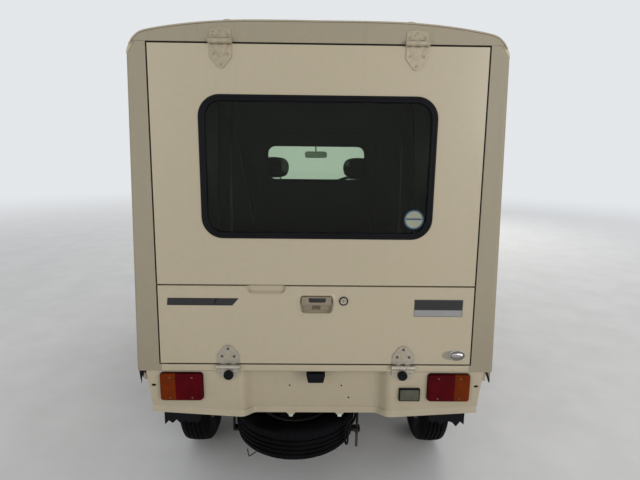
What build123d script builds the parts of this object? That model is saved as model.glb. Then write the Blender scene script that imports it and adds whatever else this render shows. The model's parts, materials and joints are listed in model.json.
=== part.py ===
from build123d import *
import os
from math import cos, radians, sin

# Small cab-over truck with a panel-van body, in millimetres.
# +Y is forward, +X is the vehicle's right side, +Z is up, and the ground is Z = 0.

# Overall sizes
LENGTH = 3295.0
BODY_WIDTH = 1395.0
BODY_HEIGHT = 1953.0
WHEELBASE = 1900.0
REAR_OVERHANG = 620.0
FRONT_TRACK = 1200.0
REAR_TRACK = 1180.0

# Clearances
RUNNING_GAP = 6.0
SEAT_GAP = 0.3

# Hinges of the rear gates, whose barrels are the rearmost points
BARREL_R = 9.0
BARREL_STANDOFF = 11.0
HATCH_HINGE_X = 336.0
HATCH_BARREL_LENGTH = 83.0
TAIL_HINGE_X = 340.0
TAIL_HINGE_Z = 690.0
TAIL_BARREL_LENGTH = 92.0
LEAF_THICK = 4.0
HATCH_FIXED_REACH = 44.0
HATCH_LEAF_REACH = 87.0
TAIL_LEAF_REACH = 87.0
TAIL_FIXED_REACH = 58.0
BUFFER_R = 17.5
BUFFER_PROUD = 11.0
BUFFER_DROP = 35.0

# Planes along the length
REAR_Y = -LENGTH / 2
FRONT_Y = LENGTH / 2
GATE_Y = REAR_Y + BARREL_R + BARREL_STANDOFF
HINGE_Y = GATE_Y - BARREL_STANDOFF
REAR_AXLE_Y = GATE_Y + REAR_OVERHANG
FRONT_AXLE_Y = REAR_AXLE_Y + WHEELBASE

# Wheels and tyres
TYRE_R = 271.0
TYRE_WIDTH = 147.0
RIM_R = 152.0
RIM_WIDTH = 114.0
RIM_THICK = 3.5
AXLE_Z = TYRE_R

# Box body
BOX_HALF = BODY_WIDTH / 2
BOX_TOP_HALF = 660.0
BOX_EAVES_Z = BODY_HEIGHT - 113.0
BOX_SHOULDER_HALF = 613.0
BOX_SHOULDER_Z = BODY_HEIGHT - 40.0
BOX_WALL = 28.0
BOX_LENGTH = 1885.0
BOX_FRAME_DEPTH = 60.0
ROOF_THICK = 24.0
ROOF_RIB_X = 310.0
ROOF_RIB_WIDTH = 26.0
ROOF_RIB_HEIGHT = 4.0
ROOF_CORNER_R = 38.0
FRAME_EDGE_R = 12.0
GUTTER_WIDTH = 10.0
GUTTER_HEIGHT = 14.0
BEAD_HEIGHT = 26.0
BEAD_PROUD = 4.0
DECK_Z = 690.0
DECK_THICK = 22.0
BOARD_THICK = 4.0
BOARD_GAP = 4.0
BOX_FRONT_Y = GATE_Y + BOX_LENGTH

# Rear gates
GATE_THICK = 30.0
GATE_TOP_Z = BODY_HEIGHT - 80.0
HATCH_HINGE_Z = GATE_TOP_Z + 7.0
GATE_TOP_HALF = 587.0
GATE_SPLIT_Z = 1017.0
GATE_BOTTOM_Z = 701.0
GATE_BOTTOM_HALF = 603.0
GATE_FLANGE = 24.0
SILL_Z = 668.0

# Handle and finger recess of the tailgate
POCKET_Z = (905.0, 979.0)
POCKET_HALF = 60.0
POCKET_BULGE = 7.0
POCKET_DEPTH = 20.0
POCKET_R = 12.0
HANDLE_HALF = 56.0
HANDLE_HEIGHT = 32.0
HANDLE_SETBACK = 4.0
LOCK_X = 103.0
LOCK_Z = 958.0
LOCK_R = 17.0
LOCK_PROUD = 3.0
FINGER_X = -190.0
FINGER_HALF = 74.0
FINGER_LOW_Z = 984.0
FINGER_DEPTH = 12.0
FINGER_SLOPE = 38.0

# Hatch window
WINDOW_HALF = 423.0
WINDOW_LOW = 1197.0
WINDOW_HIGH = GATE_TOP_Z - 165.0
WINDOW_R = 78.0
SEAL_WIDTH = 24.0
SEAL_BED = 12.0
SEAL_PROUD = 4.0
GLASS_THICK = 5.0

# Cab
CAB_GAP = 40.0
CAB_WALL = 42.0
CAB_ROOF_Z = 1775.0
CAB_FLOOR_Z = 500.0
CAB_SKIRT_Z = 455.0
CAB_HALF = 690.0
CAB_TOP_HALF = 606.0
BELT_Z = 1010.0
NOSE_SETBACK = 36.0
SCREEN_BASE_Z = 1075.0
SCREEN_TOP_Z = 1690.0
SCREEN_BASE_SETBACK = 40.0
SCREEN_TOP_SETBACK = 430.0
CAB_NOSE_Z = 640.0
CAB_NOSE_TUCK = 18.0
CAB_SKIRT_TUCK = 10.0
CAB_BROW_RUN = 260.0
CAB_BROW_R = 110.0
CAB_ROOF_FALL = 12.0
CAB_ROOF_R = 70.0
CAB_CORNER_R = 150.0
CAB_CORNER_X = 60.0
CAB_CORNER_Y = 120.0
CAB_REAR_Y = BOX_FRONT_Y + CAB_GAP
NOSE_Y = FRONT_Y - NOSE_SETBACK
ARCH_R = 345.0
ARCH_LIP = 26.0
WELL_INNER_X = 345.0
WELL_THICK = 12.0
TOWER_R = 76.0
TOWER_TOP_Z = 700.0

# Cab doors
DOOR_FRONT_Y = NOSE_Y - 250.0
DOOR_REAR_Y = CAB_REAR_Y + 95.0
DOOR_BOTTOM_Z = 505.0
DOOR_TOP_Z = 1700.0
DOOR_HINGE_X = 702.0
DOOR_HINGE_R = 8.0
DOOR_HINGE_Z = (700.0, 1000.0)
DOOR_HINGE_LENGTH = 60.0
DOOR_SILL_Z = 1060.0
DOOR_CORNER_R = 40.0
DOOR_TOP_RUN = 60.0
DOOR_FRAME = 62.0
DOOR_FRONT_FRAME = 95.0
DOOR_WINDOW_RUN = 28.0
DOOR_WINDOW_R = 45.0
DOOR_SKIN = 14.0
DOOR_RETURN = 7.0
DOOR_HANDLE_Z = 935.0
DOOR_HANDLE_LENGTH = 120.0
DOOR_HANDLE_HEIGHT = 30.0
DOOR_HANDLE_PROUD = 14.0
MIRROR_ARM_Z = 1090.0
MIRROR_X = 775.0
MIRROR_WIDTH = 110.0
MIRROR_HEIGHT = 175.0
MIRROR_DEPTH = 45.0
MIRROR_POST_X = 735.0
MIRROR_ARM_R = 9.0

# Cab rear window, repeated in the box's front wall
PARTITION_HALF = 370.0
PARTITION_LOW = 1274.0
PARTITION_HIGH = 1538.0
PARTITION_R = 60.0
RIDGE_HALF = 470.0
RIDGE_LOW = 760.0
RIDGE_HIGH = 1650.0
RIDGE_R = 160.0
RIDGE_WIDTH = 20.0
RIDGE_PROUD = 6.0

# Windscreen seen from the front, and its wipers
SCREEN_HALF_LOW = 596.0
SCREEN_HALF_HIGH = 520.0
SCREEN_MARGIN_LOW = 25.0
SCREEN_MARGIN_HIGH = 22.0
SCREEN_R = 70.0
WIPER_X = (-330.0, 180.0)
BLADE_LENGTH = 400.0
WIPER_ARM_LENGTH = 200.0

# Front end
BUMPER_LOW = 300.0
BUMPER_HIGH = 500.0
BUMPER_WALL = 40.0
BUMPER_REACH = 300.0
BUMPER_CORNER_X = 70.0
BUMPER_CORNER_Y = 110.0
BUMPER_R = 90.0
LAMP_X = 475.0
LAMP_Z = 700.0
LAMP_WIDTH = 190.0
LAMP_HEIGHT = 130.0
LAMP_DEPTH = 30.0
GRILLE_HALF = 330.0
GRILLE_LOW = 650.0
GRILLE_HIGH = 750.0
GRILLE_BARS = 4
GRILLE_DEPTH = 34.0
INDICATOR_X = 480.0
INDICATOR_Z = BUMPER_LOW + 120.0
INDICATOR_WIDTH = 150.0
INDICATOR_HEIGHT = 50.0
PLATE_BOLT_SPACING = 210.0
PLATE_BOLT_R = 3.5
PLATE_BOLT_Z = 440.0

# Frame under the body
RAIL_X = 300.0
RAIL_WIDTH = 50.0
RAIL_HEIGHT = 90.0
RAIL_LOW_Z = 362.0
RAIL_REAR_Z = 470.0
RAIL_FRONT_TOP = RAIL_LOW_Z + RAIL_HEIGHT
RAIL_REAR_TOP = RAIL_REAR_Z + RAIL_HEIGHT
KICK_SETBACK = 100.0
MEMBER_WIDTH = 44.0
ENGINE_HALF = 190.0
ENGINE_LENGTH = 440.0
ENGINE_SETBACK = 120.0
ENGINE_LOW_Z = 250.0
GEARBOX_R = 92.0
GEARBOX_LENGTH = 380.0
SHAFT_R = 24.0
TANK_X = (450.0, 630.0)
TANK_LOW_Z = 330.0
TANK_LENGTH = 480.0
TANK_R = 40.0
EXHAUST_X = 520.0
EXHAUST_Z = 430.0
MUFFLER_R = 76.0
PIPE_R = 19.0
SHAFT_Z = 330.0
BEARER_WIDTH = 40.0
SKIRT_LOW_Z = 600.0
SKIRT_INSET = 4.0
SKIRT_THICK = 26.0

# Axles and suspension
BEAM_R = 32.0
DIFF_X = 150.0
DIFF_R = 88.0
DIFF_NOSE = 190.0
DRUM_R = 112.0
DRUM_DEPTH = 40.0
DRUM_FACE = 2.0
SPRING_X = 415.0
SPRING_WIDTH = 50.0
SPRING_LEAF = 7.0
SPRING_HALF_LENGTH = 480.0
SPRING_RISE = 110.0
SPRING_PAD = 12.0
SPRING_EYE_R = 18.0
CLAMP_HALF = 55.0
CLAMP_BOLT_R = 6.0
KINGPIN_X = 490.0
STRUT_R = 22.0
COIL_R = 50.0
COIL_LOW_Z = 560.0
COIL_PITCH = 20.0
ARM_Z = 160.0

# Rear valance, whose sheet bends forward to clear the spare wheel
VALANCE_HALF = 663.0
VALANCE_FLARE = 18.0
VALANCE_SETBACK = 4.0
VALANCE_SHEET = 4.0
VALANCE_LOW = 473.0
VALANCE_RISE = 22.0
VALANCE_BEND_X = 305.0
RECESS_HALF = 235.0
RECESS_DEPTH = 50.0
RECESS_LOW = 463.0
FLANGE_HEIGHT = 24.0
FLANGE_PROUD = 7.0
TAB_X = 100.0
TAB_WIDTH = 14.0
TAB_DROP = 20.0
SLOT_X = 637.0
SLOT_Z = 605.0
SLOT_WIDTH = 18.0
SLOT_HEIGHT = 10.0
DRAIN_X = 135.0
DRAIN_Z = 526.0
DRAIN_R = 4.0
PLATE_HOLE_Z = 579.0
VALANCE_Y = GATE_Y + VALANCE_SETBACK

# Rear lamps
TAIL_LAMP_X = (443.0, 608.0)
TAIL_LAMP_Z = (547.0, 660.0)
TAIL_LAMP_R = 12.0
TAIL_LAMP_BASE = 6.0
TAIL_LAMP_PROUD = 12.0
TAIL_LAMP_RIM = 2.0
REVERSE_LAMP_X = (330.0, 413.0)
REVERSE_LAMP_Z = (545.0, 598.0)
REVERSE_LAMP_PROUD = 10.0
PLATE_LAMP_HALF = 38.0
PLATE_LAMP_Z = (623.0, 660.0)
PLATE_LAMP_TAPER = 8.0
PLATE_LAMP_PROUD = 8.0

# Spare wheel
SPARE_X = -90.0
SPARE_Y = GATE_Y + 300.0
SPARE_Z = 308.0
FLAP_Y = GATE_Y + 172.0
FLAP_X = (500.0, 660.0)
FLAP_THICK = 6.0
FLAP_LOW_Z = 320.0
CARRIER_THICK = 12.0
CARRIER_SIDE = 14.0
CARRIER_ROD_X = SPARE_X + TYRE_R + 18.0
CARRIER_ROD_R = 6.0

# Seats
SEAT_X = 330.0
SEAT_WIDTH = 440.0
SEAT_HIP_Z = 830.0
SEAT_BASE_Z = 715.0
SEAT_REAR_Y = CAB_REAR_Y + CAB_WALL + 12.0
HEADREST_WIDTH = 250.0
HEADREST_Z = (1275.0, 1450.0)
HEADREST_THICK = 86.0
HEADREST_POST_X = 50.0
HEADREST_POST_R = 6.0
CUSHION_LENGTH = 505.0
BACK_THICK = 110.0
BACK_TOP_Z = 1262.0
BACK_TOP_THICK = 87.0

# Dashboard
DASH_Z = (860.0, 1060.0)
DASH_DEPTH = 300.0
HOOD_HALF = 140.0
HOOD_TOP_Z = 1110.0
COLUMN_R = 26.0
COLUMN_LENGTH = 290.0

# Steering wheel on the right side
STEERING_X = 330.0
STEERING_Y = NOSE_Y - 560.0
STEERING_Z = 1130.0
STEERING_R = 185.0
STEERING_RIM_R = 13.0
COLUMN_LEAN = 38.0
HUB_DEPTH = 34.0


def span(x, y, z):
    """Block between low and high values along each axis."""
    size = [axis[1] - axis[0] for axis in (x, y, z)]
    centre = [(axis[0] + axis[1]) / 2 for axis in (x, y, z)]
    return Pos(*centre) * Box(*size)


def along_x(sketch, low, high):
    """Extrude a (Y, Z) sketch from low to high along X."""
    plane = Plane(origin=(low, 0, 0), x_dir=(0, 1, 0), z_dir=(1, 0, 0))
    return extrude(plane * sketch, amount=high - low, dir=(1, 0, 0))


def along_y(sketch, low, high):
    """Extrude an (X, Z) sketch from low to high along Y."""
    plane = Plane(origin=(0, low, 0), x_dir=(1, 0, 0), z_dir=(0, -1, 0))
    return extrude(plane * sketch, amount=high - low, dir=(0, 1, 0))


def along_z(sketch, low, high):
    """Extrude an (X, Y) sketch from low to high along Z."""
    return extrude(Plane.XY.offset(low) * sketch, amount=high - low, dir=(0, 0, 1))


def rounded(points, radius):
    """Polygon with every corner rounded."""
    return fillet(Polygon(*points, align=None).vertices(), radius)


def rounded_frame(x, z, radius):
    """Rounded rectangle from low and high values."""
    middle = Pos((x[0] + x[1]) / 2, (z[0] + z[1]) / 2)
    return middle * RectangleRounded(x[1] - x[0], z[1] - z[0], radius)


def rod_x(radius, x, y, z):
    return Pos((x[0] + x[1]) / 2, y, z) * Rot(0, 90, 0) * Cylinder(radius, x[1] - x[0])


def rod_y(radius, x, y, z):
    return Pos(x, (y[0] + y[1]) / 2, z) * Rot(90, 0, 0) * Cylinder(radius, y[1] - y[0])


def rod_z(radius, x, y, z):
    return Pos(x, y, (z[0] + z[1]) / 2) * Cylinder(radius, z[1] - z[0])


def pair(piece):
    """A piece and its mirror image across the middle of the vehicle."""
    return piece + mirror(piece, about=Plane.YZ)


def save(name, piece):
    export_step(piece, f"parts/{name}.step")


# Box body


def box_half_width(z):
    """Half width of the box's flat side at a height; the sill under it is upright."""
    share = max(0.0, (z - DECK_Z) / (BOX_EAVES_Z - DECK_Z))
    return BOX_HALF + (BOX_TOP_HALF - BOX_HALF) * share


def gate_half_width(z):
    """Half width of the straight sides that both gates share."""
    share = (z - GATE_BOTTOM_Z) / (GATE_TOP_Z - GATE_BOTTOM_Z)
    return GATE_BOTTOM_HALF + (GATE_TOP_HALF - GATE_BOTTOM_HALF) * share


def roof_height(x):
    """Height of the crowned roof at a distance from the middle."""
    top = BODY_HEIGHT - ROOF_RIB_HEIGHT
    return top - (top - BOX_SHOULDER_Z) * (x / BOX_SHOULDER_HALF) ** 2


def box_section(low_z):
    """Outline of the box from a height up to the crowned roof."""
    half = box_half_width(low_z)
    crown = ThreePointArc(
        (BOX_SHOULDER_HALF, BOX_SHOULDER_Z), (0, roof_height(0)), (-BOX_SHOULDER_HALF, BOX_SHOULDER_Z)
    )
    shoulder = Line((BOX_TOP_HALF, BOX_EAVES_Z), (BOX_SHOULDER_HALF, BOX_SHOULDER_Z))
    left_shoulder = Line((-BOX_SHOULDER_HALF, BOX_SHOULDER_Z), (-BOX_TOP_HALF, BOX_EAVES_Z))
    side = Line((half, low_z), (BOX_TOP_HALF, BOX_EAVES_Z))
    left_side = Line((-BOX_TOP_HALF, BOX_EAVES_Z), (-half, low_z))
    floor = Line((-half, low_z), (half, low_z))
    outline = make_face([side, shoulder, crown, left_shoulder, left_side, floor])
    corners = [v for v in outline.vertices() if v.Y > BOX_EAVES_Z - 1]
    return fillet(corners, ROOF_CORNER_R)


def roof_ribs(low, high):
    """Three low ribs along the roof."""
    rib = RectangleRounded(ROOF_RIB_WIDTH, 2 * ROOF_RIB_HEIGHT, ROOF_RIB_HEIGHT - 1)
    return [along_y(Pos(x, roof_height(x)) * rib, low, high) for x in (-ROOF_RIB_X, 0.0, ROOF_RIB_X)]


def gate_outline(low_z, high_z, grow=0.0):
    """Trapezium between two heights, between the gates' side lines."""
    low = gate_half_width(low_z) + grow
    high = gate_half_width(high_z) + grow
    return Polygon((-low, low_z), (low, low_z), (high, high_z), (-high, high_z), align=None)


def box_side_walls():
    """Flat sides, with one pressed bead at the height where the gates part."""
    rear, front = GATE_Y + BOX_FRAME_DEPTH, BOX_FRONT_Y - BOX_WALL
    outer = Polygon(
        (BOX_HALF, DECK_Z), (BOX_TOP_HALF, BOX_EAVES_Z),
        (BOX_TOP_HALF - BOX_WALL, BOX_EAVES_Z), (BOX_HALF - BOX_WALL, DECK_Z), align=None,
    )
    bead = Pos(box_half_width(GATE_SPLIT_Z), GATE_SPLIT_Z) * RectangleRounded(
        2 * BEAD_PROUD, BEAD_HEIGHT, BEAD_PROUD - 1)
    wall = along_y(outer, rear, front) + along_y(bead, rear + BEAD_HEIGHT, front - BEAD_HEIGHT)
    return pair(wall)


def box_roof():
    """Crowned roof with its shoulders, its ribs and a gutter along each side."""
    rear, front = GATE_Y + BOX_FRAME_DEPTH, BOX_FRONT_Y - BOX_WALL
    section = box_section(DECK_Z)
    shell = section - offset(section, amount=-ROOF_THICK)
    shell -= Pos(0, (DECK_Z + BOX_EAVES_Z) / 2 - 1) * Rectangle(2 * BODY_WIDTH, BOX_EAVES_Z - DECK_Z + 2)
    gutter = Pos(BOX_TOP_HALF, BOX_EAVES_Z + GUTTER_HEIGHT) * RectangleRounded(GUTTER_WIDTH, GUTTER_HEIGHT, 3)
    return along_y(shell, rear, front) + roof_ribs(rear, front) + pair(along_y(gutter, rear, front))


def box_front_wall():
    """Wall behind the cab, with its window and a pressed ridge round it."""
    wall = along_y(box_section(DECK_Z), BOX_FRONT_Y - BOX_WALL, BOX_FRONT_Y)
    ridge = rounded_frame((-RIDGE_HALF, RIDGE_HALF), (RIDGE_LOW, RIDGE_HIGH), RIDGE_R)
    ridge -= offset(ridge, amount=-RIDGE_WIDTH)
    wall += along_y(ridge, BOX_FRONT_Y - BOX_WALL - RIDGE_PROUD, BOX_FRONT_Y - BOX_WALL)
    window = rounded_frame(
        (-PARTITION_HALF, PARTITION_HALF), (PARTITION_LOW, PARTITION_HIGH), PARTITION_R
    )
    return wall - along_y(window, BOX_FRONT_Y - BOX_WALL - 1, BOX_FRONT_Y + 1)


def box_rear_frame():
    """Hoop round both gates, with a rounded outer edge and a flange that they close against."""
    rear, front = GATE_Y, GATE_Y + BOX_FRAME_DEPTH
    hoop = along_y(box_section(SILL_Z), rear, front)
    rear_edges = hoop.faces().sort_by(Axis.Y)[0].edges()
    hoop = fillet([e for e in rear_edges if e.center().Z > SILL_Z + 1], FRAME_EDGE_R)
    hoop += roof_ribs(rear + FRAME_EDGE_R, front)
    clear = gate_outline(GATE_BOTTOM_Z - RUNNING_GAP, GATE_TOP_Z + RUNNING_GAP, RUNNING_GAP)
    throat = gate_outline(DECK_Z, GATE_TOP_Z - GATE_FLANGE, -GATE_FLANGE)
    flange_y = rear + GATE_THICK + RUNNING_GAP + 2
    hoop -= along_y(clear, rear - 1, flange_y)
    return hoop - along_y(throat, rear - 1, front + 1)


def cargo_floor():
    y = (GATE_Y + BOX_FRAME_DEPTH, BOX_FRONT_Y)
    deck = span((-BOX_HALF + SKIRT_INSET, BOX_HALF - SKIRT_INSET), y, (DECK_Z - DECK_THICK, DECK_Z))
    skirt = span((BOX_HALF - SKIRT_INSET - SKIRT_THICK, BOX_HALF - SKIRT_INSET), y, (SKIRT_LOW_Z, DECK_Z))
    half = BOX_HALF - BOX_WALL - BOARD_GAP
    front = BOX_FRONT_Y - BOX_WALL - BOARD_GAP
    board = span((-half, half), (y[0] + BOARD_GAP, front), (DECK_Z, DECK_Z + BOARD_THICK))
    return deck + pair(skirt) + board


# Rear gates and their hinges


def window_outline(inset=0.0):
    return rounded_frame(
        (-WINDOW_HALF + inset, WINDOW_HALF - inset),
        (WINDOW_LOW + inset, WINDOW_HIGH - inset), WINDOW_R - inset,
    )


def hatch_panel():
    panel = along_y(gate_outline(GATE_SPLIT_Z + RUNNING_GAP / 2, GATE_TOP_Z), GATE_Y, GATE_Y + GATE_THICK)
    return panel - along_y(window_outline(SEAL_BED), GATE_Y - 1, GATE_Y + GATE_THICK + 1)


def hatch_seal():
    lip = along_y(window_outline() - window_outline(SEAL_WIDTH), GATE_Y - SEAL_PROUD, GATE_Y)
    core = along_y(
        window_outline(SEAL_BED) - window_outline(SEAL_WIDTH), GATE_Y - SEAL_PROUD, GATE_Y + GATE_THICK
    )
    groove = along_y(
        window_outline(SEAL_WIDTH - 6), GATE_Y + 6 - SEAT_GAP, GATE_Y + 6 + GLASS_THICK + SEAT_GAP
    )
    return lip + core - groove


def hatch_glass():
    return along_y(window_outline(SEAL_WIDTH - 6 + SEAT_GAP), GATE_Y + 6, GATE_Y + 6 + GLASS_THICK)


def tailgate_pocket():
    """Outline of the handle's pocket, widest near its top."""
    low, high = POCKET_Z
    wide = POCKET_HALF + POCKET_BULGE
    bulge_z = high - (high - low) / 3
    return rounded([
        (-POCKET_HALF, high), (POCKET_HALF, high), (wide, bulge_z), (POCKET_HALF, low), (-POCKET_HALF, low),
        (-wide, bulge_z),
    ], POCKET_R)


def tailgate_panel():
    """Lower gate, with the handle's pocket and a sloped finger recess in its top edge."""
    panel = along_y(
        gate_outline(GATE_BOTTOM_Z, GATE_SPLIT_Z - RUNNING_GAP / 2), GATE_Y, GATE_Y + GATE_THICK
    )
    panel -= along_y(tailgate_pocket(), GATE_Y - 1, GATE_Y + POCKET_DEPTH)
    top = GATE_SPLIT_Z + FINGER_HALF
    finger = Pos(FINGER_X, (FINGER_LOW_Z + top) / 2) * Rectangle(2 * FINGER_HALF, top - FINGER_LOW_Z)
    plane = Plane(origin=(0, GATE_Y, 0), x_dir=(1, 0, 0), z_dir=(0, -1, 0))
    return panel - extrude(plane * finger, amount=-FINGER_DEPTH, taper=FINGER_SLOPE)


def tailgate_handle():
    """Lever in the top of the pocket, and the ring of the key lock beside it."""
    high = POCKET_Z[1] - 2 * HANDLE_SETBACK
    shape = rounded_frame((-HANDLE_HALF, HANDLE_HALF), (high - HANDLE_HEIGHT, high), HANDLE_SETBACK)
    flap = along_y(shape, GATE_Y + HANDLE_SETBACK, GATE_Y + POCKET_DEPTH)
    lock = rod_y(LOCK_R, LOCK_X, (GATE_Y - LOCK_PROUD, GATE_Y), LOCK_Z)
    return flap + lock - rod_y(LOCK_R / 2, LOCK_X, (GATE_Y - LOCK_PROUD - 1, GATE_Y - 1), LOCK_Z)


def leaf(x, tip_z, barrel_z, tip_r, barrel_width, shoulder):
    """Hinge leaf on the gate plane: straight sides from the barrel to the shoulder, then a round tip."""
    toward = 1 if tip_z > barrel_z else -1
    near = barrel_z + toward * (BARREL_R + RUNNING_GAP)
    corner = shoulder / 2
    spots = [(x, tip_z - toward * tip_r, tip_r)]
    spots += [(x + side * (barrel_width / 2 - corner), near + toward * shoulder, corner) for side in (-1, 1)]
    root = Pos(x, near) * Rectangle(barrel_width, RUNNING_GAP)
    circles = [Pos(u, v) * Circle(r) for u, v, r in spots]
    shape = make_hull([*root.edges(), *(edge for circle in circles for edge in circle.edges())])
    shape &= Pos(x, (near + tip_z) / 2) * Rectangle(2 * barrel_width, abs(near - tip_z) + RUNNING_GAP)
    return along_y(shape, GATE_Y - LEAF_THICK, GATE_Y)


# Cab


def cab_block(inset):
    """Cab form as the overlap of its side, front and top outlines, drawn in by an inset."""
    brow_y = NOSE_Y - SCREEN_TOP_SETBACK
    side = Polygon(
        (CAB_REAR_Y, CAB_SKIRT_Z), (NOSE_Y - CAB_NOSE_TUCK, CAB_SKIRT_Z), (NOSE_Y, CAB_NOSE_Z),
        (NOSE_Y - SCREEN_BASE_SETBACK, SCREEN_BASE_Z), (brow_y, SCREEN_TOP_Z),
        (brow_y - CAB_BROW_RUN, CAB_ROOF_Z), (CAB_REAR_Y, CAB_ROOF_Z - CAB_ROOF_FALL), align=None,
    )
    skirt = CAB_HALF - CAB_SKIRT_TUCK
    front = Polygon(
        (-skirt, CAB_SKIRT_Z), (skirt, CAB_SKIRT_Z), (CAB_HALF, CAB_NOSE_Z), (CAB_HALF, BELT_Z),
        (CAB_TOP_HALF, CAB_ROOF_Z), (-CAB_TOP_HALF, CAB_ROOF_Z), (-CAB_HALF, BELT_Z), (-CAB_HALF, CAB_NOSE_Z),
        align=None,
    )
    top = Polygon(
        (-CAB_HALF, CAB_REAR_Y), (CAB_HALF, CAB_REAR_Y), (CAB_HALF, NOSE_Y - CAB_CORNER_Y),
        (CAB_HALF - CAB_CORNER_X, NOSE_Y), (-CAB_HALF + CAB_CORNER_X, NOSE_Y), (-CAB_HALF, NOSE_Y - CAB_CORNER_Y),
        align=None,
    )
    front = fillet([v for v in front.vertices() if v.Y > BELT_Z + 1], CAB_ROOF_R)
    top = fillet([v for v in top.vertices() if v.Y > CAB_REAR_Y + 1], CAB_CORNER_R)
    brow = [v for v in side.vertices() if v.Y > SCREEN_BASE_Z + 1 and v.X > CAB_REAR_Y + 1]
    side = fillet(brow, CAB_BROW_R)
    if inset:
        side, front, top = (offset(shape, amount=-inset) for shape in (side, front, top))
    block = along_x(side, -CAB_HALF - 50, CAB_HALF + 50)
    block &= along_y(front, CAB_REAR_Y - 50, NOSE_Y + 50)
    block &= along_z(top, CAB_SKIRT_Z - 50, CAB_ROOF_Z + 50)
    return block


def wheel_drum(radius, low, high):
    return rod_x(radius, (low, high), FRONT_AXLE_Y, AXLE_Z)


def pillar_lean():
    """Run of the windscreen pillar for each millimetre that it rises."""
    return (SCREEN_TOP_SETBACK - SCREEN_BASE_SETBACK) / (SCREEN_TOP_Z - SCREEN_BASE_Z)


def door_outline(inset=0.0):
    """Door seen from the side; the front edge leans back with the windscreen pillar."""
    top_front = DOOR_FRONT_Y - (DOOR_TOP_Z - SCREEN_BASE_Z) * pillar_lean() + DOOR_TOP_RUN
    points = [
        (DOOR_REAR_Y, DOOR_BOTTOM_Z), (DOOR_FRONT_Y, DOOR_BOTTOM_Z), (DOOR_FRONT_Y, SCREEN_BASE_Z),
        (top_front, DOOR_TOP_Z), (DOOR_REAR_Y, DOOR_TOP_Z),
    ]
    outline = rounded(points, DOOR_CORNER_R)
    outline -= Pos(FRONT_AXLE_Y, AXLE_Z) * Circle(ARCH_R + ARCH_LIP)
    if inset:
        outline = offset(outline, amount=-inset)
    return outline


def door_window(inset=0.0):
    high = DOOR_TOP_Z - DOOR_FRAME
    front_low = DOOR_FRONT_Y - DOOR_FRONT_FRAME
    front_high = front_low - (high - DOOR_SILL_Z) * pillar_lean() + DOOR_WINDOW_RUN
    points = [
        (DOOR_REAR_Y + DOOR_FRAME, DOOR_SILL_Z), (front_low, DOOR_SILL_Z), (front_high, high),
        (DOOR_REAR_Y + DOOR_FRAME, high),
    ]
    outline = rounded(points, DOOR_WINDOW_R)
    if inset:
        outline = offset(outline, amount=-inset)
    return outline


def screen_outline(inset=0.0):
    """Windscreen seen from the front."""
    low, high = SCREEN_BASE_Z + SCREEN_MARGIN_LOW, SCREEN_TOP_Z - SCREEN_MARGIN_HIGH
    outline = rounded([
        (-SCREEN_HALF_LOW, low), (SCREEN_HALF_LOW, low), (SCREEN_HALF_HIGH, high), (-SCREEN_HALF_HIGH, high),
    ], SCREEN_R)
    if inset:
        outline = offset(outline, amount=-inset)
    return outline


def rear_screen_outline(inset=0.0):
    return rounded_frame(
        (-PARTITION_HALF + inset, PARTITION_HALF - inset),
        (PARTITION_LOW + inset, PARTITION_HIGH - inset), PARTITION_R - inset,
    )


def lamp_outline(inset=0.0):
    x = (LAMP_X - LAMP_WIDTH / 2 + inset, LAMP_X + LAMP_WIDTH / 2 - inset)
    z = (LAMP_Z - LAMP_HEIGHT / 2 + inset, LAMP_Z + LAMP_HEIGHT / 2 - inset)
    return rounded_frame(x, z, 18 - inset)


def grille_outline(inset=0.0):
    return rounded_frame(
        (-GRILLE_HALF + inset, GRILLE_HALF - inset), (GRILLE_LOW + inset, GRILLE_HIGH - inset), 14 - inset
    )


def seat_box():
    """Raised floor under the seats, open below over the engine."""
    rear, front = CAB_REAR_Y + CAB_WALL - 2, FRONT_AXLE_Y + 60
    half = CAB_HALF - CAB_WALL - 40
    box = span((-half, half), (rear, front), (CAB_FLOOR_Z - 4, SEAT_BASE_Z - SEAT_GAP))
    hollow = span(
        (-half + WELL_THICK, half - WELL_THICK), (rear + WELL_THICK, front - WELL_THICK),
        (CAB_SKIRT_Z - 1, SEAT_BASE_Z - WELL_THICK),
    )
    return box, hollow


def cab_shell(outer, inner):
    box, hollow = seat_box()
    wells = pair(
        wheel_drum(ARCH_R + WELL_THICK, WELL_INNER_X - WELL_THICK, CAB_HALF + 60)
        + rod_z(TOWER_R + WELL_THICK, KINGPIN_X, FRONT_AXLE_Y, (CAB_SKIRT_Z, TOWER_TOP_Z + WELL_THICK))
    )
    shell = outer - (inner - wells - box)
    shell -= hollow - wells
    shell -= pair(wheel_drum(ARCH_R, WELL_INNER_X, CAB_HALF + 60))
    shell -= pair(rod_z(TOWER_R, KINGPIN_X, FRONT_AXLE_Y, (CAB_SKIRT_Z, TOWER_TOP_Z)))
    doorway_core = cab_block(CAB_WALL + 6)
    shell -= along_x(door_outline(-RUNNING_GAP), -CAB_HALF - 60, CAB_HALF + 60) - doorway_core
    shell -= along_y(screen_outline(), NOSE_Y - 520, NOSE_Y + 60)
    shell -= along_y(rear_screen_outline(), CAB_REAR_Y - 1, CAB_REAR_Y + CAB_WALL + 1)
    shell -= pair(along_y(lamp_outline(), NOSE_Y - 200, NOSE_Y + 10)) - cab_block(LAMP_DEPTH)
    shell -= along_y(grille_outline(), NOSE_Y - GRILLE_DEPTH, NOSE_Y + 10)
    for z in DOOR_HINGE_Z:
        for low, high in ((z, z + 15), (z + DOOR_HINGE_LENGTH - 15, z + DOOR_HINGE_LENGTH)):
            shell += pair(hinge_strap(low, high, 1))
    return shell


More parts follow.
